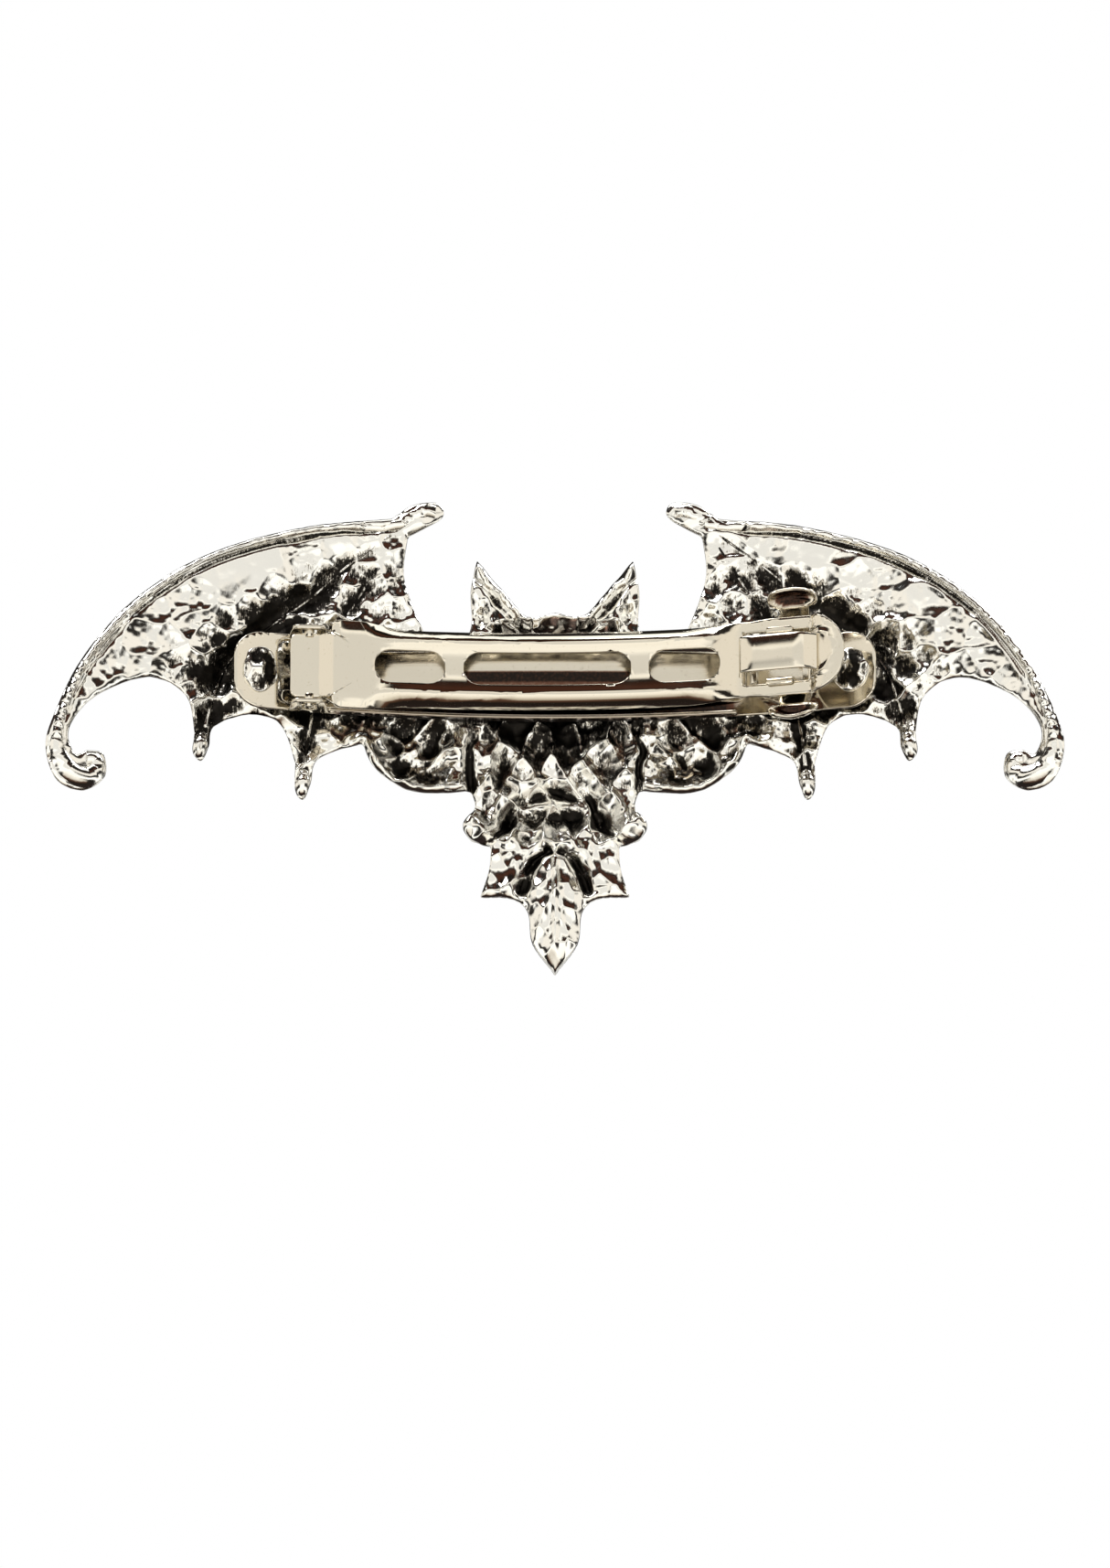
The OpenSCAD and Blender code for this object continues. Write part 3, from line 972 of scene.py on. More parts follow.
        # Furry torso and haunches
        width = np.maximum(np.interp(z, self.torso_z, self.torso_w), 0.1)
        round_over = np.interp(z, (-27, -20, 0, 5.5), (0.55, 0.8, 0.88, 0.3))
        dome = np.sqrt(np.clip(width**2 - x**2, 0, None)) * round_over
        fur = self.relief[-1].tufts(x, z + 0.25 * aside, 2.9, 2.5)
        strands = self.relief[1].waves(x * 3.2, z * 0.6 + aside * 0.5, 0.9)
        furry = (1 - ramp(z, 5.0, 7.5)) * ramp(z, -26.5, -24.5)
        coat = (0.8 * fur + 0.2 * strands) * furry
        y = np.where(dome > 0, np.maximum(y, 1.8 + dome + coat * ramp(dome, 0.2, 2.0)), y)
        haunch = 0.6 + np.sqrt(np.clip(5.2**2 - (aside - 17) ** 2 - ((z + 9.4) * 1.02) ** 2, 0, None))
        furred = haunch + (0.75 * fur + 0.22 * strands) * ramp(haunch, 1.5, 3.5)
        y = np.where(haunch > 0.6, np.maximum(y, furred), y)
        y = np.maximum(y, self._head(x, z))
        y += self._ear_front(x, z, edge)
        # Toes, and the tail feather with its barbs
        toes = hump(np.abs(np.mod(aside - 8.1, 1.5) - 0.75), 0.42) * hump(z + 18.8, 1.5) * (aside > 8.1)
        y += 1.1 * toes + 0.5 * mound(aside, z, (9.6, -18.4), (2.2, 2.0))
        feather = np.interp(z, self.feather_z, self.feather_w)
        leaf = np.sqrt(np.clip(1 - (aside / np.maximum(feather, 0.15)) ** 2, 0, 1))
        barbs = np.abs(np.mod(z + 1.25 * aside, 1.3) / 1.3 - 0.5) * 2
        low = 1 - ramp(z, -22.5, -20.5)
        return y + low * (1.0 * leaf + 0.55 * hump(aside, 0.45) - 0.3 * (1 - ramp(barbs, 0, 0.45)))

    def _head(self, x: Array, z: Array) -> Array:
        """The bat's face: brows, sockets, snout with a nose leaf, and mouth."""
        aside = np.abs(x)
        r = np.clip(1 - (x / 5.3) ** 2 - ((z - 6.6) / 4.9) ** 2, 0, None)
        y = 3.0 + 5.0 * np.sqrt(r)
        inside = r > 0
        y += 0.75 * hump(away_from(aside, z, ((0.7, 8.3), (2.2, 9.1), (3.9, 8.6))), 0.55) * inside
        sockets = mound(aside, z, (2.2, 7.6), (0.85, 0.75))
        nostrils = mound(aside, z, (0.55, 5.4), (0.3, 0.3))
        snout, nose_leaf = mound(aside, z, (0, 5.2), (1.7, 1.5)), mound(aside, z, (0, 6.2), (0.6, 0.8))
        y += 1.7 * snout + 0.6 * nose_leaf - sockets - 0.7 * nostrils
        y -= 0.75 * hump(away_from(aside, z, ((0, 4.15), (1.3, 3.7), (2.6, 4.2))), 0.3)
        tufted = 0.5 * self.relief[1].tufts(x * 1.3, z, 1.6, 1.5) * ramp(aside, 2.6, 4.2)
        return np.where(inside, y + tufted, -99.0)

    def _ear_front(self, x: Array, z: Array, edge: Array) -> Array:
        """Rim, hollow and ribs inside each ear."""
        aside = np.abs(x)
        on = ramp(z, 7.5, 9.5) * ramp(aside, 3.4, 4.6) * (aside < 12)
        hollow = ramp(edge, 0.5, 1.5)
        ribs = np.abs(np.mod(z * 0.9 - aside * 0.25, 1.1) / 1.1 - 0.5) * 2
        return on * (0.9 * hump(edge - 0.55, 0.5) - 0.5 * hollow + 0.22 * hollow * ramp(ribs, 0.4, 0.9)
                     + 1.5 * (1 - ramp(z, 8.5, 12)) * hollow)

    def shape(self, made: bpy.types.Object) -> bpy.types.Object:
        """Presses the flat plate into the casting, blackens its recesses and paints shade round the clip.

        Args:
            made: The plate from blank().

        Returns:
            The same object.
        """
        points = places(made)
        x, z = points[:, 0], points[:, 2]
        side = np.clip(points[:, 1] / self.blank_half, -1, 1)
        half = self.half_outline()
        edge = distance_to(np.abs(x), z, half)[0]
        bones = self.bones(x, z)
        back = self.back(x, z, bones)
        front = np.maximum(self.front(x, z, bones, edge), back + self.least_t)
        middle = (front + back) / 2
        # The outline's edges are rounded, but not the faces where wings and body lap
        cut = np.abs(np.abs(x) - self.split) < self.lap + 0.05
        drop = 1 - np.sqrt(np.clip(1 - (1 - np.clip(edge / self.edge_r, 0, 1)) ** 2, 0, 1))
        drop = np.where(cut & (edge > 0.6), 0, drop)
        rim = np.minimum((front - back) / 2, self.edge_r) * 0.6 * drop
        points[:, 1] = middle + side * ((front - back) / 2 - rim)
        put(made, points)
        self._blacken(made, points, side, bones, edge)
        return made

    def _blacken(self, made: bpy.types.Object, points: Array, side: Array, bones: Nearest,
                 edge: Array) -> None:
        """Finds the recesses of both faces and stores their blackening, with painted shade round the clip.

        Args:
            made: The shaped casting.
            points: Its vertices.
            side: -1 on the back and 1 on the front.
            bones: What bones() gives for the vertices.
            edge: Distance from the outline.
        """
        x, z, y = points[:, 0], points[:, 2], points[:, 1]
        aside = np.abs(x)
        # Whatever lies lower than its surroundings is blacker
        sunk_fine = (y - spread(made, y, 12)) * -np.sign(side)
        sunk_wide = (y - spread(made, y, 120)) * -np.sign(side)
        black = 0.14 + 1.9 * np.clip(sunk_fine, -0.08, 0.4) + 0.7 * np.clip(sunk_wide, -0.2, 1.0)
        at_back = side < 0.3
        (near_a, along_a), (near_b, along_b) = bones["bone_a"], bones["bone_b"]
        cloud = self.relief[1].waves(x, z, 2.2) - 0.5
        # Black lies in the valleys behind the fingers and fades out between the hammer marks
        rib = 0.75 * hump(near_a, 2.2) * ramp(along_a, 0.05, 0.55)
        rib = rib + 0.5 * hump(near_b, 1.3) * ramp(along_b, 0.1, 0.5)
        rib = rib + 0.18 * hump(near_a, 4.6) * ramp(along_a, 0.15, 0.6) * (1 + 1.6 * cloud)
        web = 0.2 * (1 - ramp(aside, 30, 36)) * (aside > 13) * ramp(z, 2, 16)
        marks = self.dents(x, z)
        rib = rib * (0.45 + 0.75 * ramp(marks, 0.25, 0.75))
        rib = rib + 0.2 * hump(near_a, 9.0) * ramp(marks, 0.6, 0.95)
        # Painted shade round the clip, darker below it than above; the black also stays where no cloth
        # reaches, in the trunk's hollow and in grooves
        clip_shade = np.clip(1 - (np.abs(z) - self.clip_half_w) / 3.0, 0, 1) * (aside < 38)
        clip_shade *= 1 - 0.75 * ramp(z, -1, 1)
        trunk = (0.12 + 0.25 * cloud) * (aside < 24) * (z < 5) * ramp(z, -22, -19)
        crown = -0.22 * (aside < 13) * ramp(z, 4, 6)
        hollow = 0.12 * (aside < 9) * ramp(z, -11, -6)
        crease = 0.6 * hump(aside - 10.6 - 1.2 * cloud, 0.55) * (z < -4) * (z > -15)
        arch = 0.55 * np.exp(-((x / 5.0) ** 4) - ((z + 16.8) / 1.4) ** 2)
        leading = bones["leading"][0]
        groove = (0.45 + 0.3 * ramp(x, 20, 40)) * hump(leading - 1.35, 0.4) * (1 - ramp(aside, 45, 60))
        calm = -0.25 * (1 - ramp(leading, 3, 8)) * (aside > 14)
        masks = rib * (aside > 12) + web + 0.5 * clip_shade + trunk + crown + hollow + crease + arch
        masks += groove + calm
        black = np.minimum(black + at_back * masks, 0.76 + 0.3 * cloud) - 0.12 * (edge < 0.5)
        store_darkness(made, black)

    def cord(self, side: int, name: str) -> bpy.types.Object:
        """Engraved bone along a wing's leading edge, with the curl at its tip.

        Args:
            side: -1 for the left wing and 1 for the right one.
            name: The object's name.

        Returns:
            The bone.
        """
        steps = 36
        flat = smooth_line(self.cord_line, steps)
        x = side * flat[:, 0]
        y = self.plate_y(x) + self.wing_t / 2
        radii = np.interp(np.arange(len(flat)) / steps, np.arange(len(self.cord_radii)), self.cord_radii)
        made = tube(name, np.column_stack([x, y, flat[:, 1]]), radii, 24)
        points = places(made)
        aside, y, z = np.abs(points[:, 0]), points[:, 1].copy(), points[:, 2].copy()
        relief = self.relief[side]
        marks = relief.hammered(aside * 0.8 + y, z * 0.8 + y * 0.6, 0.75, 1.4)
        cloud = relief.waves(aside + y * 0.7, z - y, 1.1)
        rough = np.interp(z, (-13, -9), (0.45, 1.0))
        middle = self.plate_y(aside) + self.wing_t / 2
        deep = np.where(aside > 24, 1 + 1.1 * ramp(z, -12, -6), 1.0)
        points[:, 1] = middle + (y - middle) * deep * (1 - rough * (0.22 * (1 - marks) + 0.12 * cloud))
        points[:, 2] += 0.1 * rough * (cloud - 0.5)
        put(made, points)
        sunk = (spread(made, points[:, 1], 10) - points[:, 1]) * np.sign(points[:, 1] - middle)
        wrist = 0.45 * ramp(points[:, 2], 20.0, 21.2) * ramp(cloud, 0.3, 0.6)
        store_darkness(made, 0.30 + 3.2 * sunk + 0.3 * (1 - marks) + wrist)
        return made

    def finger(self, knots: Sequence[Pair], side: int, name: str) -> bpy.types.Object:
        """Fine raised line in the valley behind a wing's bone, with the bead at its end.

        Args:
            knots: The bone's line on the right wing.
            side: -1 for the left wing and 1 for the right one.
            name: The object's name.

        Returns:
            The line and bead as one mesh.
        """
        flat = smooth_line(knots, 14)
        y = self.back(side * flat[:, 0], flat[:, 1], self.bones(flat[:, 0], flat[:, 1]))
        y = np.convolve(np.pad(y, 4, "edge"), np.ones(9) / 9, "valid")
        radii = 0.18 + 0.16 * np.linspace(0, 1, len(flat))
        path = np.column_stack([side * flat[:, 0], y + 0.12, flat[:, 1]])
        shown = int(len(path) * 0.93)
        line = tube(name + "_line", path[:shown], radii[:shown], 12)
        tip = np.array(knots[-1])
        lean = (tip - np.array(knots[-2])) / np.linalg.norm(tip - np.array(knots[-2]))
        t = np.linspace(0, 1, 15)
        bead_l, inward = 3.6, 1.2
        bead = tip - lean * inward + np.outer(t * bead_l, lean)
        wide = np.sqrt(np.clip(1 - (2 * t - 1) ** 2, 0, 1)) * 0.92 + 0.02
        wide *= 1 - 0.22 * hump(t - 0.28, 0.08)
        mid = self.plate_y(bead[:, 0]) + self.wing_t / 2
        drop = tube(name + "_bead", np.column_stack([side * bead[:, 0], mid, bead[:, 1]]), wide, 16)
        made = join(name, [line, drop])
        points = places(made)
        cloud = self.relief[side].waves(points[:, 0], points[:, 2] + points[:, 1], 0.9)
        away = np.hypot(np.abs(points[:, 0]) - tip[0], points[:, 2] - tip[1])
        store_darkness(made, 0.32 + 0.28 * ramp(away, 2.4, 3.4) + 0.5 * (cloud - 0.45))
        return made

    def rivet(self, side: int, name: str) -> bpy.types.Object:
        """Peened end of a post, beaten down over the base bar.

        Args:
            side: -1 for the left rivet and 1 for the right one.
            name: The object's name.

        Returns:
            The uneven lump.
        """
        half_sizes = (2.25, 1.1, 2.9)
        made = finished(ball((0, 0, 0), half_sizes, 5), name)
        points = places(made)
        relief = self.relief[side]
        lumps = relief.waves(points[:, 0] + 7, points[:, 2] + points[:, 1], 1.3) - 0.5
        dents = relief.hammered(points[:, 0] * 1.1 + 20, points[:, 2] + 8, 1.5, 1.6)
        outward = points / np.maximum(np.linalg.norm(points, axis=1), 1e-6)[:, None]
        points += outward * (0.55 * lumps)[:, None]
        face = ramp(-points[:, 1], 0.1, 0.7)
        points[:, 1] += face * 0.35 * dents
        angle = self.post_turn(side)
        radius = self.floor_r - 0.15
        c, s = math.cos(angle), math.sin(angle)
        x, y = points[:, 0], points[:, 1] + radius
        put(made, np.column_stack([x * c + y * s, -self.bow_r - x * s + y * c, points[:, 2]]))
        crescent = hump(np.hypot(x + 0.3, points[:, 2] * 0.8) - 1.35, 0.4) * ramp(x, -0.5, 0.6)
        store_darkness(made, 0.3 + 0.3 * ramp(dents, 0.55, 1.0) * face + 0.5 * crescent + 0.4 * (0.2 - lumps))
        return made

    def standoff(self, side: int, name: str) -> bpy.types.Object:
        """Round boss between the casting and the base bar."""
        bm = bmesh.new()
        depth, play = 2.2, 0.02
        bmesh.ops.create_cone(bm, cap_ends=True, cap_tris=False, segments=48, radius1=3.0, radius2=3.3,
                              depth=depth)
        soften_rims(bm)
        bmesh.ops.rotate(bm, matrix=Matrix.Rotation(math.radians(-90), 3, "X"), verts=bm.verts)
        bmesh.ops.translate(bm, vec=(0, self.bar_r + play + depth / 2, 0), verts=bm.verts)
        bmesh.ops.rotate(bm, matrix=Matrix.Rotation(-self.post_turn(side), 3, "Z"), verts=bm.verts)
        bmesh.ops.translate(bm, vec=(0, -self.bow_r, 0), verts=bm.verts)
        made = finished(bm, name)
        store_darkness(made, np.full(len(made.data.vertices), 0.5))
        return made

    def eyes(self, name: str) -> bpy.types.Object:
        """Two round eyes set in the face."""
        parts = []
        for side in (-1, 1):
            middle = (side * 2.2, 7.15, 7.6)
            parts.append(finished(ball(middle, (0.72, 0.6, 0.62), 3), f"{name}_{side}"))
        made = join(name, parts)
        store_darkness(made, np.full(len(made.data.vertices), 0.1))
        return made

    def build(self) -> list[bpy.types.Object]:
        """Makes and dresses every piece of the ornament."""
        reach = 70.0
        body = self.blank("bat_body", -self.split - self.lap, self.split + self.lap, self.body_voxel)
        pieces = [self.shape(body)]
        for side, word in ((-1, "left"), (1, "right")):
            inner = side * (self.split - self.lap)
            low, high = sorted((inner, side * reach))
            pieces.append(self.shape(self.blank(f"bat_wing_{word}", low, high, self.wing_voxel)))
            pieces.append(self.cord(side, f"leading_bone_{word}"))
            pieces.append(self.finger(self.bone_a, side, f"long_finger_{word}"))
            pieces.append(self.finger(self.bone_b, side, f"short_finger_{word}"))
            pieces.append(self.rivet(side, f"rivet_{word}"))
            pieces.append(self.standoff(side, f"standoff_{word}"))
        pieces.append(self.eyes("bat_eyes"))
        for made in pieces:
            dress(made, self.silver, Body.BASE)
        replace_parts(pieces[0], "bat_ornament")
        return pieces


# ---- clip --------------------------------------------------------------------------------


@dataclass
class ClipFrame:
    """Shared places of the clip: its bow, its hinge and the catch's own frame."""

    bow_r: float = 105.0
    floor_r: float = 108.15
    sheet_t: float = 0.5
    catch_x: float = 28.3
    catch_slope: float = 18.0
    hinge: Pair = (-30.6, -4.87)

    def bow_y(self, x: Array, radius: float) -> Array:
        """Place along Y of a circle about the bow's middle."""
        return -self.bow_r + np.sqrt(radius**2 - np.asarray(x, float) ** 2)

    def from_catch(self, u: Array, h: Array) -> tuple[Array, Array]:
        """X and Y of points given along the arm and up from the base bar's floor."""
        a = math.radians(self.catch_slope)
        y0 = float(self.bow_y(self.catch_x, self.floor_r))
        return (self.catch_x + u * math.cos(a) - h * math.sin(a), y0 - u * math.sin(a) - h * math.cos(a))


@dataclass
class BaseBar:
    """The clip's long base with its flanges, hinge lugs and catch tabs."""

    nickel: bpy.types.Material
    clip: ClipFrame
    length: float = 80.0
    width: float = 9.8
    corner: float = 3.4

    def floor(self) -> bpy.types.Object:
        """The bowed floor with the opening for the arm's tail."""
        long, wide = self.length / 2, self.width / 2
        outline = oblong((-long, -wide), (long, wide), [self.corner] * 4, 12)
        opening = oblong((-34.6, -4), (-28.2, 4), [1] * 4, 6)
        middle = self.clip.floor_r + self.clip.sheet_t / 2

        def bend(x: Array, z: Array) -> Array:
            """Bows the floor."""
            return np.column_stack([x, self.clip.bow_y(x, middle), z])

        return Sheet(outline, bend, [opening], cuts_across=(-3, 0, 3), thickness=self.clip.sheet_t,
                     bevel=0.12).build("floor")

    def flange(self, z: float) -> bpy.types.Object:
        """A low wall along one side of the floor, centred at z."""
        outline = oblong((-28.5, -0.2), (22.8, 1.0), (0, 0, 0.6, 0.6), 5)

        def stand(x: Array, h: Array) -> Array:
            """Stands the wall on the bowed floor."""
            return np.column_stack([x, self.clip.bow_y(x, self.clip.floor_r) - h, np.full(len(x), z)])

        return Sheet(outline, stand, step=1.0, thickness=0.5, bevel=0.16).build("flange")

    def lug(self, z: float) -> bpy.types.Object:
        """One ear of the hinge with the window that the arm turns in."""
        outline = rounded([(-33.3, -1.9, 0.1), (-32.6, -6.3, 0.9), (-28.6, -5.9, 0.9), (-28.2, -0.6, 0.1)], 5)
        window = oblong((-31.5, -5.5), (-29.7, -2.2), [0.5] * 4, 4)

        def stand(x: Array, y: Array) -> Array:
            """Stands the ear upright."""
            return np.column_stack([x, y, np.full(len(x), z)])

        return Sheet(outline, stand, [window], thickness=0.5, bevel=0.1).build("lug")

    def tab(self, side: int) -> bpy.types.Object:
        """A tongue cut from the floor and folded over the catch's foot."""
        base = self.clip.floor_r
        fold_z, tip_z = 3.8 * side, 2.9 * side
        line = Profile(np.array([(fold_z, base + 0.1), (fold_z, base - 0.72), (tip_z, base - 0.8)]), 0.12)
        angle = math.asin(self.clip.catch_x / base)
        outline = oblong((0, -1.2), (line.length, 1.2), (0, 0.4, 0.4, 0), 4)

        def fold(s: Array, z: Array) -> Array:
            """Folds the tongue and turns it round the bow to the catch."""
            p = line.at(s)[0]
            x = p[:, 0] * math.cos(angle) + p[:, 1] * math.sin(angle)
            y = -self.clip.bow_r - p[:, 0] * math.sin(angle) + p[:, 1] * math.cos(angle)
            return np.column_stack([x, y, z])

        return Sheet(outline, fold, step=0.15, thickness=0.34, bevel=0.06).build("tab")

    def build(self) -> bpy.types.Object:
        """Makes and dresses the bar."""
        parts = [self.floor()]
        for side in (-1, 1):
            parts += [self.flange(side * 4.6), self.lug(side * 4.75), self.tab(side)]
        made = join("base_bar_formed", parts)
        points = places(made)
        x, az = points[:, 0], np.abs(points[:, 2])
        # Painted shade along the channel's sides beside the flanges, weaker from about a millimetre above the
        # floor
        above = self.clip.bow_y(x, self.clip.floor_r + 0.1) - points[:, 1]
        channel_shade = ramp(x, -28.2, -26.5) * (1 - ramp(x, 21.0, 24.0)) * ramp(az, 2.4, 3.1)
        store_darkness(made, channel_shade * (1 - 0.75 * ramp(above, 0.75, 1.0)), "painted_shade")
        dress(made, self.nickel, Body.BASE)
        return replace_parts(made, "base_bar")


@dataclass
class ClaspArm:
    """The long spring-loaded arm with its hinge tail, slots, catch frame and tab."""

    nickel: bpy.types.Material
    clip: ClipFrame
    arm_r: float = 100.0
    arm_x: float = -3.2
    tail_slope: float = 8.0
    gap: float = 6.3
    half_w: float = 4.8
    head_half_w: float = 5.6
    slot_w: float = 4.2
    rail_h: float = 8.02
    tab_h: float = 9.0
    bridge_h: float = 2.4
    ridge_z: float = 3.35
    slots: tuple[Pair, ...] = ((-22.5, -13.7), (-11.4, 9.5), (11.7, 20.6))
    window: Pair = (23.35, 31.81)

    def arm_at(self, x: Array) -> Array:
        """Place along Y of the arm's bow."""
        middle = -self.gap / 2 - math.sqrt(self.arm_r**2 - self.arm_x**2)
        return middle + np.sqrt(self.arm_r**2 - (np.asarray(x, float) - self.arm_x) ** 2)

    def profile(self) -> Profile:
        """The arm seen on edge, from the tail to the end tab."""
        slope = math.radians(self.tail_slope)
        x0, y0 = self.clip.hinge
        points = [(x0 + d * math.cos(slope), y0 + d * math.sin(slope)) for d in (-2.4, 1.3)]
        points += [(x, float(self.arm_at(x))) for x in np.linspace(-27.5, 19.7, 60)]
        points += [self.clip.from_catch(u, h) for u, h in
                   ((-3.4, self.rail_h), (6.5, self.rail_h), (7.2, self.tab_h), (12, self.tab_h))]
        return Profile(np.array(points), 0.22)

    def section(self, x: Array, z: Array) -> Array:
        """How far the formed section stands towards the hand, at places on the arm."""
        az = np.abs(z)
        formed = ramp(x, -24, -17.5) * (1 - ramp(x, 15, 23.5))
        dish = 0.5 * (np.clip(az / self.ridge_z, 0, 1) ** 2.5 - 1)
        over = np.clip(az - self.ridge_z, 0, None)
        shoulder = -0.25 * over - 0.60 * over**2
        head = 0.12 * (1 - ramp(az, 3.6, 5.6)) * (1 - ramp(x, -24, -19)) * ramp(x, -27.6, -26.6)
        edge = -0.12 * ramp(az, 4.4, 5.6) * (1 - formed) * ramp(x, -27.3, -26) * (1 - ramp(x, 20, 23))
        return formed * (dish + 0.5 + shoulder) + head + edge

    def emboss(self, x: Array, z: Array) -> Array:
        """Raised half ring and dished middle of the end tab."""
        d = np.hypot(x - 31.0, z)
        on = ramp(x, 32.3, 33.2)
        return on * (0.22 * hump(d - 3.3, 0.32) - 0.10 * (1 - ramp(d, 2.2, 3.2)))

    def blank(self) -> bpy.types.Object:
        """The formed strip with its three slots and the catch's window."""
        rail, head = self.half_w, self.head_half_w
        right = [(-32.95, 4.1, 0.9), (-27.75, 4.1, 0.15), (-27.6, head, 0.7), (-24, head, 5),
                 (-19, rail, 7), (24.6, rail, 3), (26.5, 5.0, 3), (35.75, 5.0, 4.95)]
        outline = rounded([(x, -z, r) for x, z, r in right] + right[::-1], 10)
        half, (low, high) = self.slot_w / 2, self.window
        holes = [oblong((a, -half), (b, half), [half - 0.001] * 4, 12) for a, b in self.slots]
        holes.append(oblong((low, -self.ridge_z), (high, self.ridge_z), [0.5] * 4, 5))
        line = self.profile()

        def form(x: Array, z: Array) -> Array:
            """Bends the strip and gives it its section."""
            return line.raised(line.length_at(x), self.section(x, z) + self.emboss(x, z), z)

        cuts = [s * c for c in (0.9, 1.7, 2.5, 2.9, 3.35, 3.75, 4.15, 4.5) for s in (-1, 1)]
        return Sheet(outline, form, holes, step=0.6, cuts_across=[0.0, *cuts], thickness=0.5,
                     bevel=0.09).build("arm_blank")

    def bridge(self) -> bpy.types.Object:
        """The raised strip over the catch."""
        top, half = self.rail_h + self.bridge_h, 2.3
        corners = ((-2.9, self.rail_h), (-2.1, top), (5.7, top), (7.3, self.tab_h))
        line = Profile(np.array([self.clip.from_catch(u, h) for u, h in corners]), 0.3)
        full = line.length
        outline = oblong((0, -half), (full, half), [0] * 4)

        def form(s: Array, z: Array) -> Array:
            """Bends the strip over the catch and crowns its top."""
            crown = 0.25 * (1 - (z / half) ** 2) * ramp(s, 2.5, 4) * (1 - ramp(s, full - 3, full - 1))
            return line.raised(s, crown, z)

        cuts = [-1.9, -1.4, -0.7, 0, 0.7, 1.4, 1.9]
        return Sheet(outline, form, step=0.2, cuts_across=cuts, thickness=0.5, bevel=0.12).build("bridge")

    def ears(self) -> bpy.types.Object:
        """The two stubs that turn in the lugs' windows."""
        bm = bmesh.new()
        for side in (-1, 1):
            made = bmesh.ops.create_cone(bm, cap_ends=True, cap_tris=False, segments=24, radius1=0.6,
                                         radius2=0.6, depth=1.8)
            bmesh.ops.translate(bm, vec=(*self.clip.hinge, side * 4.5), verts=made["verts"])
        soften_rims(bm)
        return finished(bm, "ears")

    def build(self) -> bpy.types.Object:
        """Makes and dresses the arm."""
        made = join("clasp_arm_formed", [self.blank(), self.bridge(), self.ears()])
        dress(made, self.nickel, Body.ARM)
        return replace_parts(made, "clasp_arm")


@dataclass
class TensionSpring:
    """The bowed strip that pushes the arm open, held by two prongs."""

    steel: bpy.types.Material
    clip: ClipFrame
    bow_r: float = 506.0
    rise: float = 0.03
    half_w: float = 3.2
    seat_r: float = 107.9
    prong_r: float = 108.4

    def build(self) -> list[bpy.types.Object]:
        """Makes the spring's two halves, cut at its middle, and gives them their finish."""
        xs = np.linspace(-22.5, 22.5, 50)
        seat = [(x, float(self.clip.bow_y(x, self.seat_r))) for x in (-28.6, -27, -25, -23.5)]
        prong = [(x, float(self.clip.bow_y(x, self.prong_r))) for x in (-34.3, -32, -29.1)]
        bowed = [(x, self.bow_r + self.rise - math.sqrt(self.bow_r**2 - x * x)) for x in xs]
        end = [(24.0, float(self.clip.bow_y(24.0, self.seat_r)))]
        line = Profile(np.array([*prong, *seat, *bowed, *end]), 0.25)
        # Prongs reach through the bar's opening, and the strip bears on the floor beyond them
        upper = [(-34.2, 2.3, 0.75), (-34.2, 3.9, 0.75), (-28.9, 3.9, 0.4), (-28.3, self.half_w, 0.4),
                 (23.9, self.half_w, 1.2)]
        lower = [(x, -z, r) for x, z, r in reversed(upper)]
        outline = rounded([*upper, *lower, (-29.2, -2.3, 0.5), (-29.2, 2.3, 0.5)], 6)

        def bend(x: Array, z: Array) -> Array:
            """Bows the strip and crowns it across."""
            p = line.at(line.length_at(x))[0]
            crown = 0.25 * (z / self.half_w) ** 2 * ramp(x, -27, -21) * (1 - ramp(x, 19, 23))
            return np.column_stack([p[:, 0], p[:, 1] - crown, z])

        cuts = [-2.75, -1.6, -0.9, -0.6, 0, 0.45, 0.8, 1.6, 2.75]
        strip = Sheet(outline, bend, step=0.6, cuts_across=cuts, thickness=0.3, bevel=0.06).build("strip")
        halves = []
        for side, word in ((-1, "left"), (1, "right")):
            bm = bmesh.new()
            bm.from_mesh(strip.data)
            cut = bmesh.ops.bisect_plane(bm, geom=[*bm.verts, *bm.edges, *bm.faces], dist=1e-7,
                                         plane_co=(0, 0, 0), plane_no=(-side, 0, 0),
                                         clear_outer=True)["geom_cut"]
            ends = [e for e in cut if isinstance(e, bmesh.types.BMEdge)]
            for cap in bmesh.ops.holes_fill(bm, edges=ends)["faces"]:
                cap.smooth = False
            for end in ends:
                end.smooth = False
            mesh = bpy.data.meshes.new(f"tension_strip_{word}")
            bm.to_mesh(mesh)
            bm.free()
            half = link(mesh.name, mesh)
            half.data.materials.append(self.steel)
            points = places(half)
            # Painted shade: a dark band over the strip's middle stretch, from just above its centre line
            # downwards, less dark near its lower edge
            band = (1 - ramp(points[:, 2], 0.45, 0.8)) * (0.62 + 0.38 * ramp(points[:, 2], -0.9, -0.6))
            store_darkness(half, band * (1 - ramp(np.abs(points[:, 0] + 1), 9.5, 12)), "painted_shade")
            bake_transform(half)
            log.info("%s: %d vertices, bends between base and spring", half.name, len(half.data.vertices))
            halves.append(half)
        bpy.data.objects.remove(strip)
        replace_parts(halves[0], "tension_spring")
        return halves


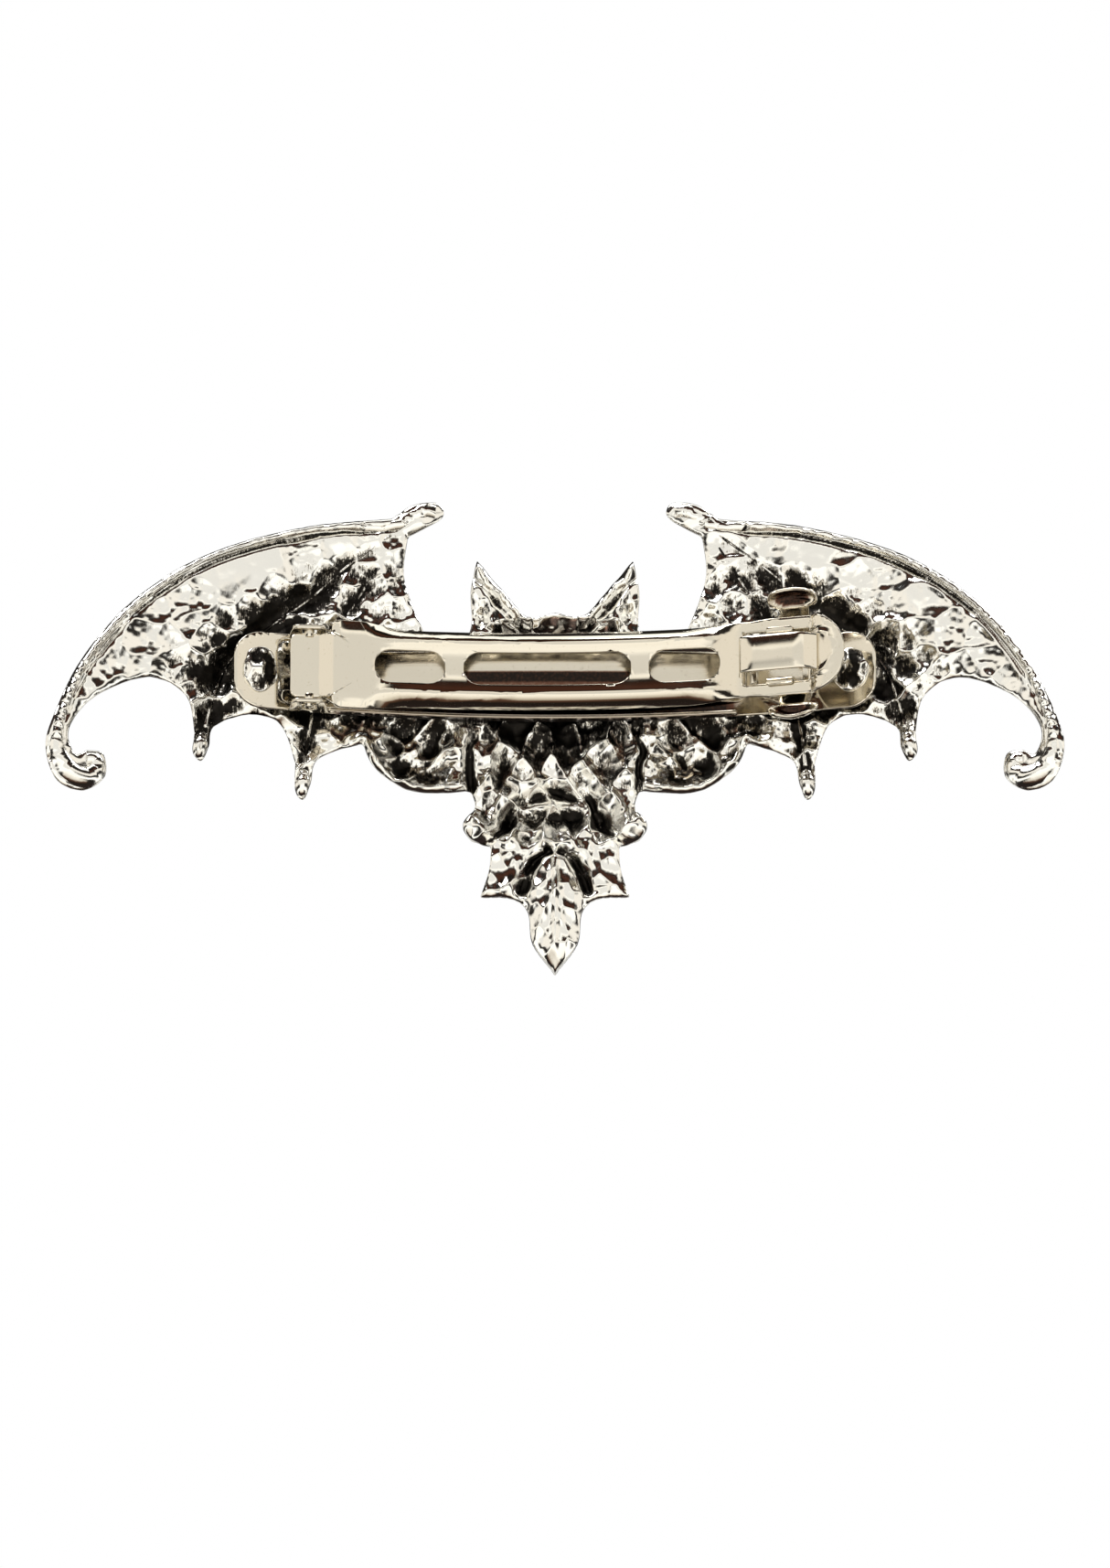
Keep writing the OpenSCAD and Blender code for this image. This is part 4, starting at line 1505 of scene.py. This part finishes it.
@dataclass
class Catch:
    """The bent strip that snaps into the arm: a foot and two sprung legs with finger paddles."""

    steel: bpy.types.Material
    clip: ClipFrame
    thickness: float = 0.4
    root: Pair = (2.3, 0.5)
    neck: Pair = (6.5, 8.4)

    def foot(self) -> bpy.types.Object:
        """The flat of the strip, held by the bar's tabs."""
        outline = oblong((25.0, -2.05), (31.6, 2.05), [0.3] * 4, 4)

        def bend(x: Array, z: Array) -> Array:
            """Lays the foot on the bar's floor."""
            return np.column_stack([x, self.clip.bow_y(x, self.clip.floor_r - 0.25), z])

        made = Sheet(outline, bend, thickness=self.thickness, bevel=0.08).build("catch_foot_plate")
        dress(made, self.steel, Body.BASE)
        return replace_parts(made, "catch_foot")

    def _in_place(self, u: Array, h: Array, z: Array) -> Array:
        """Row frame places of points in the catch's frame."""
        x, y = self.clip.from_catch(u, h)
        return np.column_stack([x, y, z])

    def flank(self, side: int) -> bpy.types.Object:
        """A leg with its waist and dished paddle."""
        tip = (self.neck[0] + 1.5, self.neck[1] + 1.5)
        start = ((self.root[0] - 0.35, self.root[1] - 0.15), (self.root[0] + 0.15, self.root[1] + 0.1))
        line = Profile(np.array([*start, self.neck, tip]), 0.35)
        full = line.length
        waist = full - 2.3
        outline = rounded(
            [(0, -2.8, 0.4), (1.2, -2.8, 0.8), (waist - 1.0, 2.1, 2.0), (waist - 0.1, 1.9, 0.4),
             (waist + 0.1, 0.9, 1.0), (full, 1.0, 1.4), (full, 7.2, 1.4), (waist + 0.1, 7.3, 1.0),
             (waist - 0.1, 6.0, 0.4), (waist - 1.0, 5.8, 2.0), (1.2, 4.5, 0.8), (0, 4.5, 0.4)], 6)

        def bend(s: Array, u: Array) -> Array:
            """Bends the leg and cups its paddle."""
            p, n = line.at(s)
            cup = np.clip(1 - ((u - 4.1) / 3.0) ** 2 - ((s - full + 1.2) / 1.4) ** 2, 0, 1)
            out = -1.1 * cup * ramp(s, waist - 0.3, waist + 0.3)
            z, h = p[:, 0] + n[:, 0] * out, p[:, 1] + n[:, 1] * out
            return self._in_place(u, h, side * z)

        return Sheet(outline, bend, step=0.25, cuts_across=np.arange(-2.4, 7.2, 0.4),
                     thickness=self.thickness, bevel=0.1).build("flank")

    def hook(self, side: int) -> bpy.types.Object:
        """The tongue that stands in the arm's window, with its barb."""
        line = Profile(np.array([(2.9, 1.3), (2.9, 8.62), (3.75, 8.62)]), 0.15)
        outline = oblong((0, 0.6), (line.length, 4.0), (0.1, 0.3, 0.3, 0.1), 4)

        def bend(s: Array, u: Array) -> Array:
            """Bends the tongue's barb outwards."""
            p = line.at(s)[0]
            return self._in_place(u, p[:, 1], side * p[:, 0])

        return Sheet(outline, bend, step=0.25, thickness=self.thickness, bevel=0.07).build("hook")

    def build(self) -> list[bpy.types.Object]:
        """Makes and dresses the three pieces."""
        made = [self.foot()]
        for side, word, body in ((1, "upper", Body.LEG_UPPER), (-1, "lower", Body.LEG_LOWER)):
            leg = join(f"catch_{word}_leg", [self.flank(side), self.hook(side)])
            # Painted shade in the cup of each paddle
            cup_x, cup_z = float(self.clip.from_catch(4.1, 9.05)[0]), side * 7.15
            points = places(leg)
            cup = ((points[:, 0] - cup_x) / 2.5) ** 2 + ((points[:, 2] - cup_z) / 0.95) ** 2
            store_darkness(leg, 0.94 * (1 - ramp(cup, 0.45, 0.95)), "painted_shade")
            dress(leg, self.steel, body)
            made.append(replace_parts(leg, f"catch_leg_{word}"))
        return made


# ---- studio ------------------------------------------------------------------------------

# What the metal mirrors: colours round the clip's length, by the angle up from the side of the hand
ROOM_ROUND = (
    (-180, (0.80, 0.79, 0.76)), (-171, (0.80, 0.78, 0.73)), (-166, (0.03, 0.02, 0.02)),
    (-84, (0.02, 0.015, 0.012)), (-70, (0.13, 0.065, 0.040)), (-60, (0.72, 0.66, 0.56)),
    (-34, (1.15, 1.10, 1.00)), (-4, (1.28, 1.25, 1.17)), (4, (0.90, 0.88, 0.83)),
    (21, (0.86, 0.84, 0.79)), (25, (1.3, 1.27, 1.19)), (29, (1.05, 1.0, 0.90)),
    (31.5, (0.010, 0.009, 0.008)), (47, (0.075, 0.028, 0.016)), (56, (0.012, 0.010, 0.008)),
    (72, (0.012, 0.010, 0.008)), (76, (1.5, 1.48, 1.42)), (106, (1.5, 1.48, 1.42)),
    (109, (0.02, 0.018, 0.016)), (172, (0.02, 0.018, 0.016)), (177, (0.7, 0.69, 0.66)),
    (180, (0.80, 0.79, 0.76)))
SHADE = (0.02, 0.017, 0.015)
CREAM = (1.3, 1.27, 1.19)
WARM = (1.0, 0.95, 0.86)
# Colours beyond the clip's two ends, from straight below at 0 to straight above at 1
ROOM_ENDS = (
    (0.0, SHADE), (0.24, SHADE), (0.28, CREAM), (0.37, CREAM), (0.42, SHADE), (0.52, SHADE),
    (0.56, WARM), (0.70, WARM), (0.73, SHADE), (0.87, SHADE), (0.90, CREAM), (1.0, CREAM))


@dataclass
class Studio:
    """Pale floor, white surroundings with soft dark bands, two softboxes and the camera."""

    aim: Vector = field(default_factory=lambda: Vector((0, 0.0035, -0.0130)))
    distance: float = 1.2
    rise_deg: float = 15.0
    lens: float = 220.4
    floor_z: float = -0.36

    def camera(self) -> bpy.types.Object:
        """Looks at the back of the clip from a little below."""
        data = bpy.data.cameras.new("camera")
        data.lens, data.sensor_width = self.lens, 36
        data.clip_start, data.clip_end = 0.01, 20
        made = bpy.data.objects.new("camera", data)
        ahead = Vector((0, math.cos(math.radians(self.rise_deg)), math.sin(math.radians(self.rise_deg))))
        made.location = self.aim - ahead * self.distance
        made.rotation_mode = "QUATERNION"
        made.rotation_quaternion = ahead.to_track_quat("-Z", "Y")
        bpy.context.scene.collection.objects.link(made)
        bpy.context.scene.camera = made
        return made

    def floor(self) -> bpy.types.Object:
        """Plain pale floor, left out of the metal's reflections."""
        bm = bmesh.new()
        bmesh.ops.create_circle(bm, cap_ends=True, segments=96, radius=6000)
        bmesh.ops.translate(bm, vec=(0, 0, self.floor_z / MM), verts=bm.verts)
        made = finished(bm, "floor", outward=False)
        material, net = new_material("floor")
        shader = net.add("ShaderNodeBsdfPrincipled", {"Base Color": (0.95, 0.95, 0.945, 1), "Roughness": 0.9})
        net.add("ShaderNodeOutputMaterial", {"Surface": shader.outputs[0]})
        made.data.materials.append(material)
        made.visible_glossy = False
        return made

    def surroundings(self) -> None:
        """White for the camera, and soft bands of light and dark for the metal to mirror."""
        world = bpy.data.worlds.new("studio")
        bpy.context.scene.world = world
        world.use_nodes = True
        net = Graph(world.node_tree)
        way = net.add("ShaderNodeSeparateXYZ", {"Vector": net.add("ShaderNodeTexCoord").outputs["Generated"]})
        x, y, z = way.outputs
        turn = net.maths("ARCTAN2", z, net.times(y, -1.0))
        place = net.plus(net.maths("DIVIDE", turn, 2 * math.pi), 0.5)
        bands = net.colours(place, [((angle + 180) / 360, colour) for angle, colour in ROOM_ROUND])
        sides = net.colours(net.plus(net.times(z, 0.5), 0.5), ROOM_ENDS)
        seen = net.mixed(net.spanned(net.maths("ABSOLUTE", x), 0.50, 0.66), bands, sides)
        room = net.add("ShaderNodeBackground", {"Color": seen, "Strength": 1.0})
        white = net.add("ShaderNodeBackground", {"Color": (1, 1, 1, 1), "Strength": 1.0})
        rays = net.add("ShaderNodeLightPath")
        plain = net.maths("MAXIMUM", rays.outputs["Is Camera Ray"], rays.outputs["Is Diffuse Ray"])
        either = net.add("ShaderNodeMixShader", {0: plain, 1: room.outputs[0], 2: white.outputs[0]})
        net.add("ShaderNodeOutputWorld", {"Surface": either.outputs[0]})

    def lamp(self, name: str, place: Sequence[float], size: float, power: float) -> bpy.types.Object:
        """A square softbox that points at the clip."""
        data = bpy.data.lights.new(name, "AREA")
        data.shape, data.size, data.energy = "SQUARE", size, power
        made = bpy.data.objects.new(name, data)
        made.location = place
        made.rotation_mode = "QUATERNION"
        made.rotation_quaternion = (Vector((0, 0, 0)) - made.location).to_track_quat("-Z", "Y")
        bpy.context.scene.collection.objects.link(made)
        return made

    def build(self) -> None:
        """Sets the whole scene."""
        self.camera()
        self.floor()
        self.surroundings()
        self.lamp("key", (-0.5, -0.25, 1.1), 0.7, 9)
        self.lamp("fill", (0.7, 0.5, 0.9), 0.6, 5)
        view = bpy.context.scene.view_settings
        view.view_transform, view.look = "Standard", "None"


def main() -> None:
    """Builds the object's pieces and the studio, and reports each piece."""
    logging.basicConfig(level=logging.INFO, format="%(name)s: %(message)s")
    clip = ClipFrame()
    silver, nickel, steel = AntiqueSilver().material(), NICKEL.material(), STEEL.material()
    BatCasting(silver).build()
    BaseBar(nickel, clip).build()
    ClaspArm(nickel, clip).build()
    TensionSpring(steel, clip).build()
    Catch(steel, clip).build()
    Studio().build()


if __name__ == "__main__":
    main()
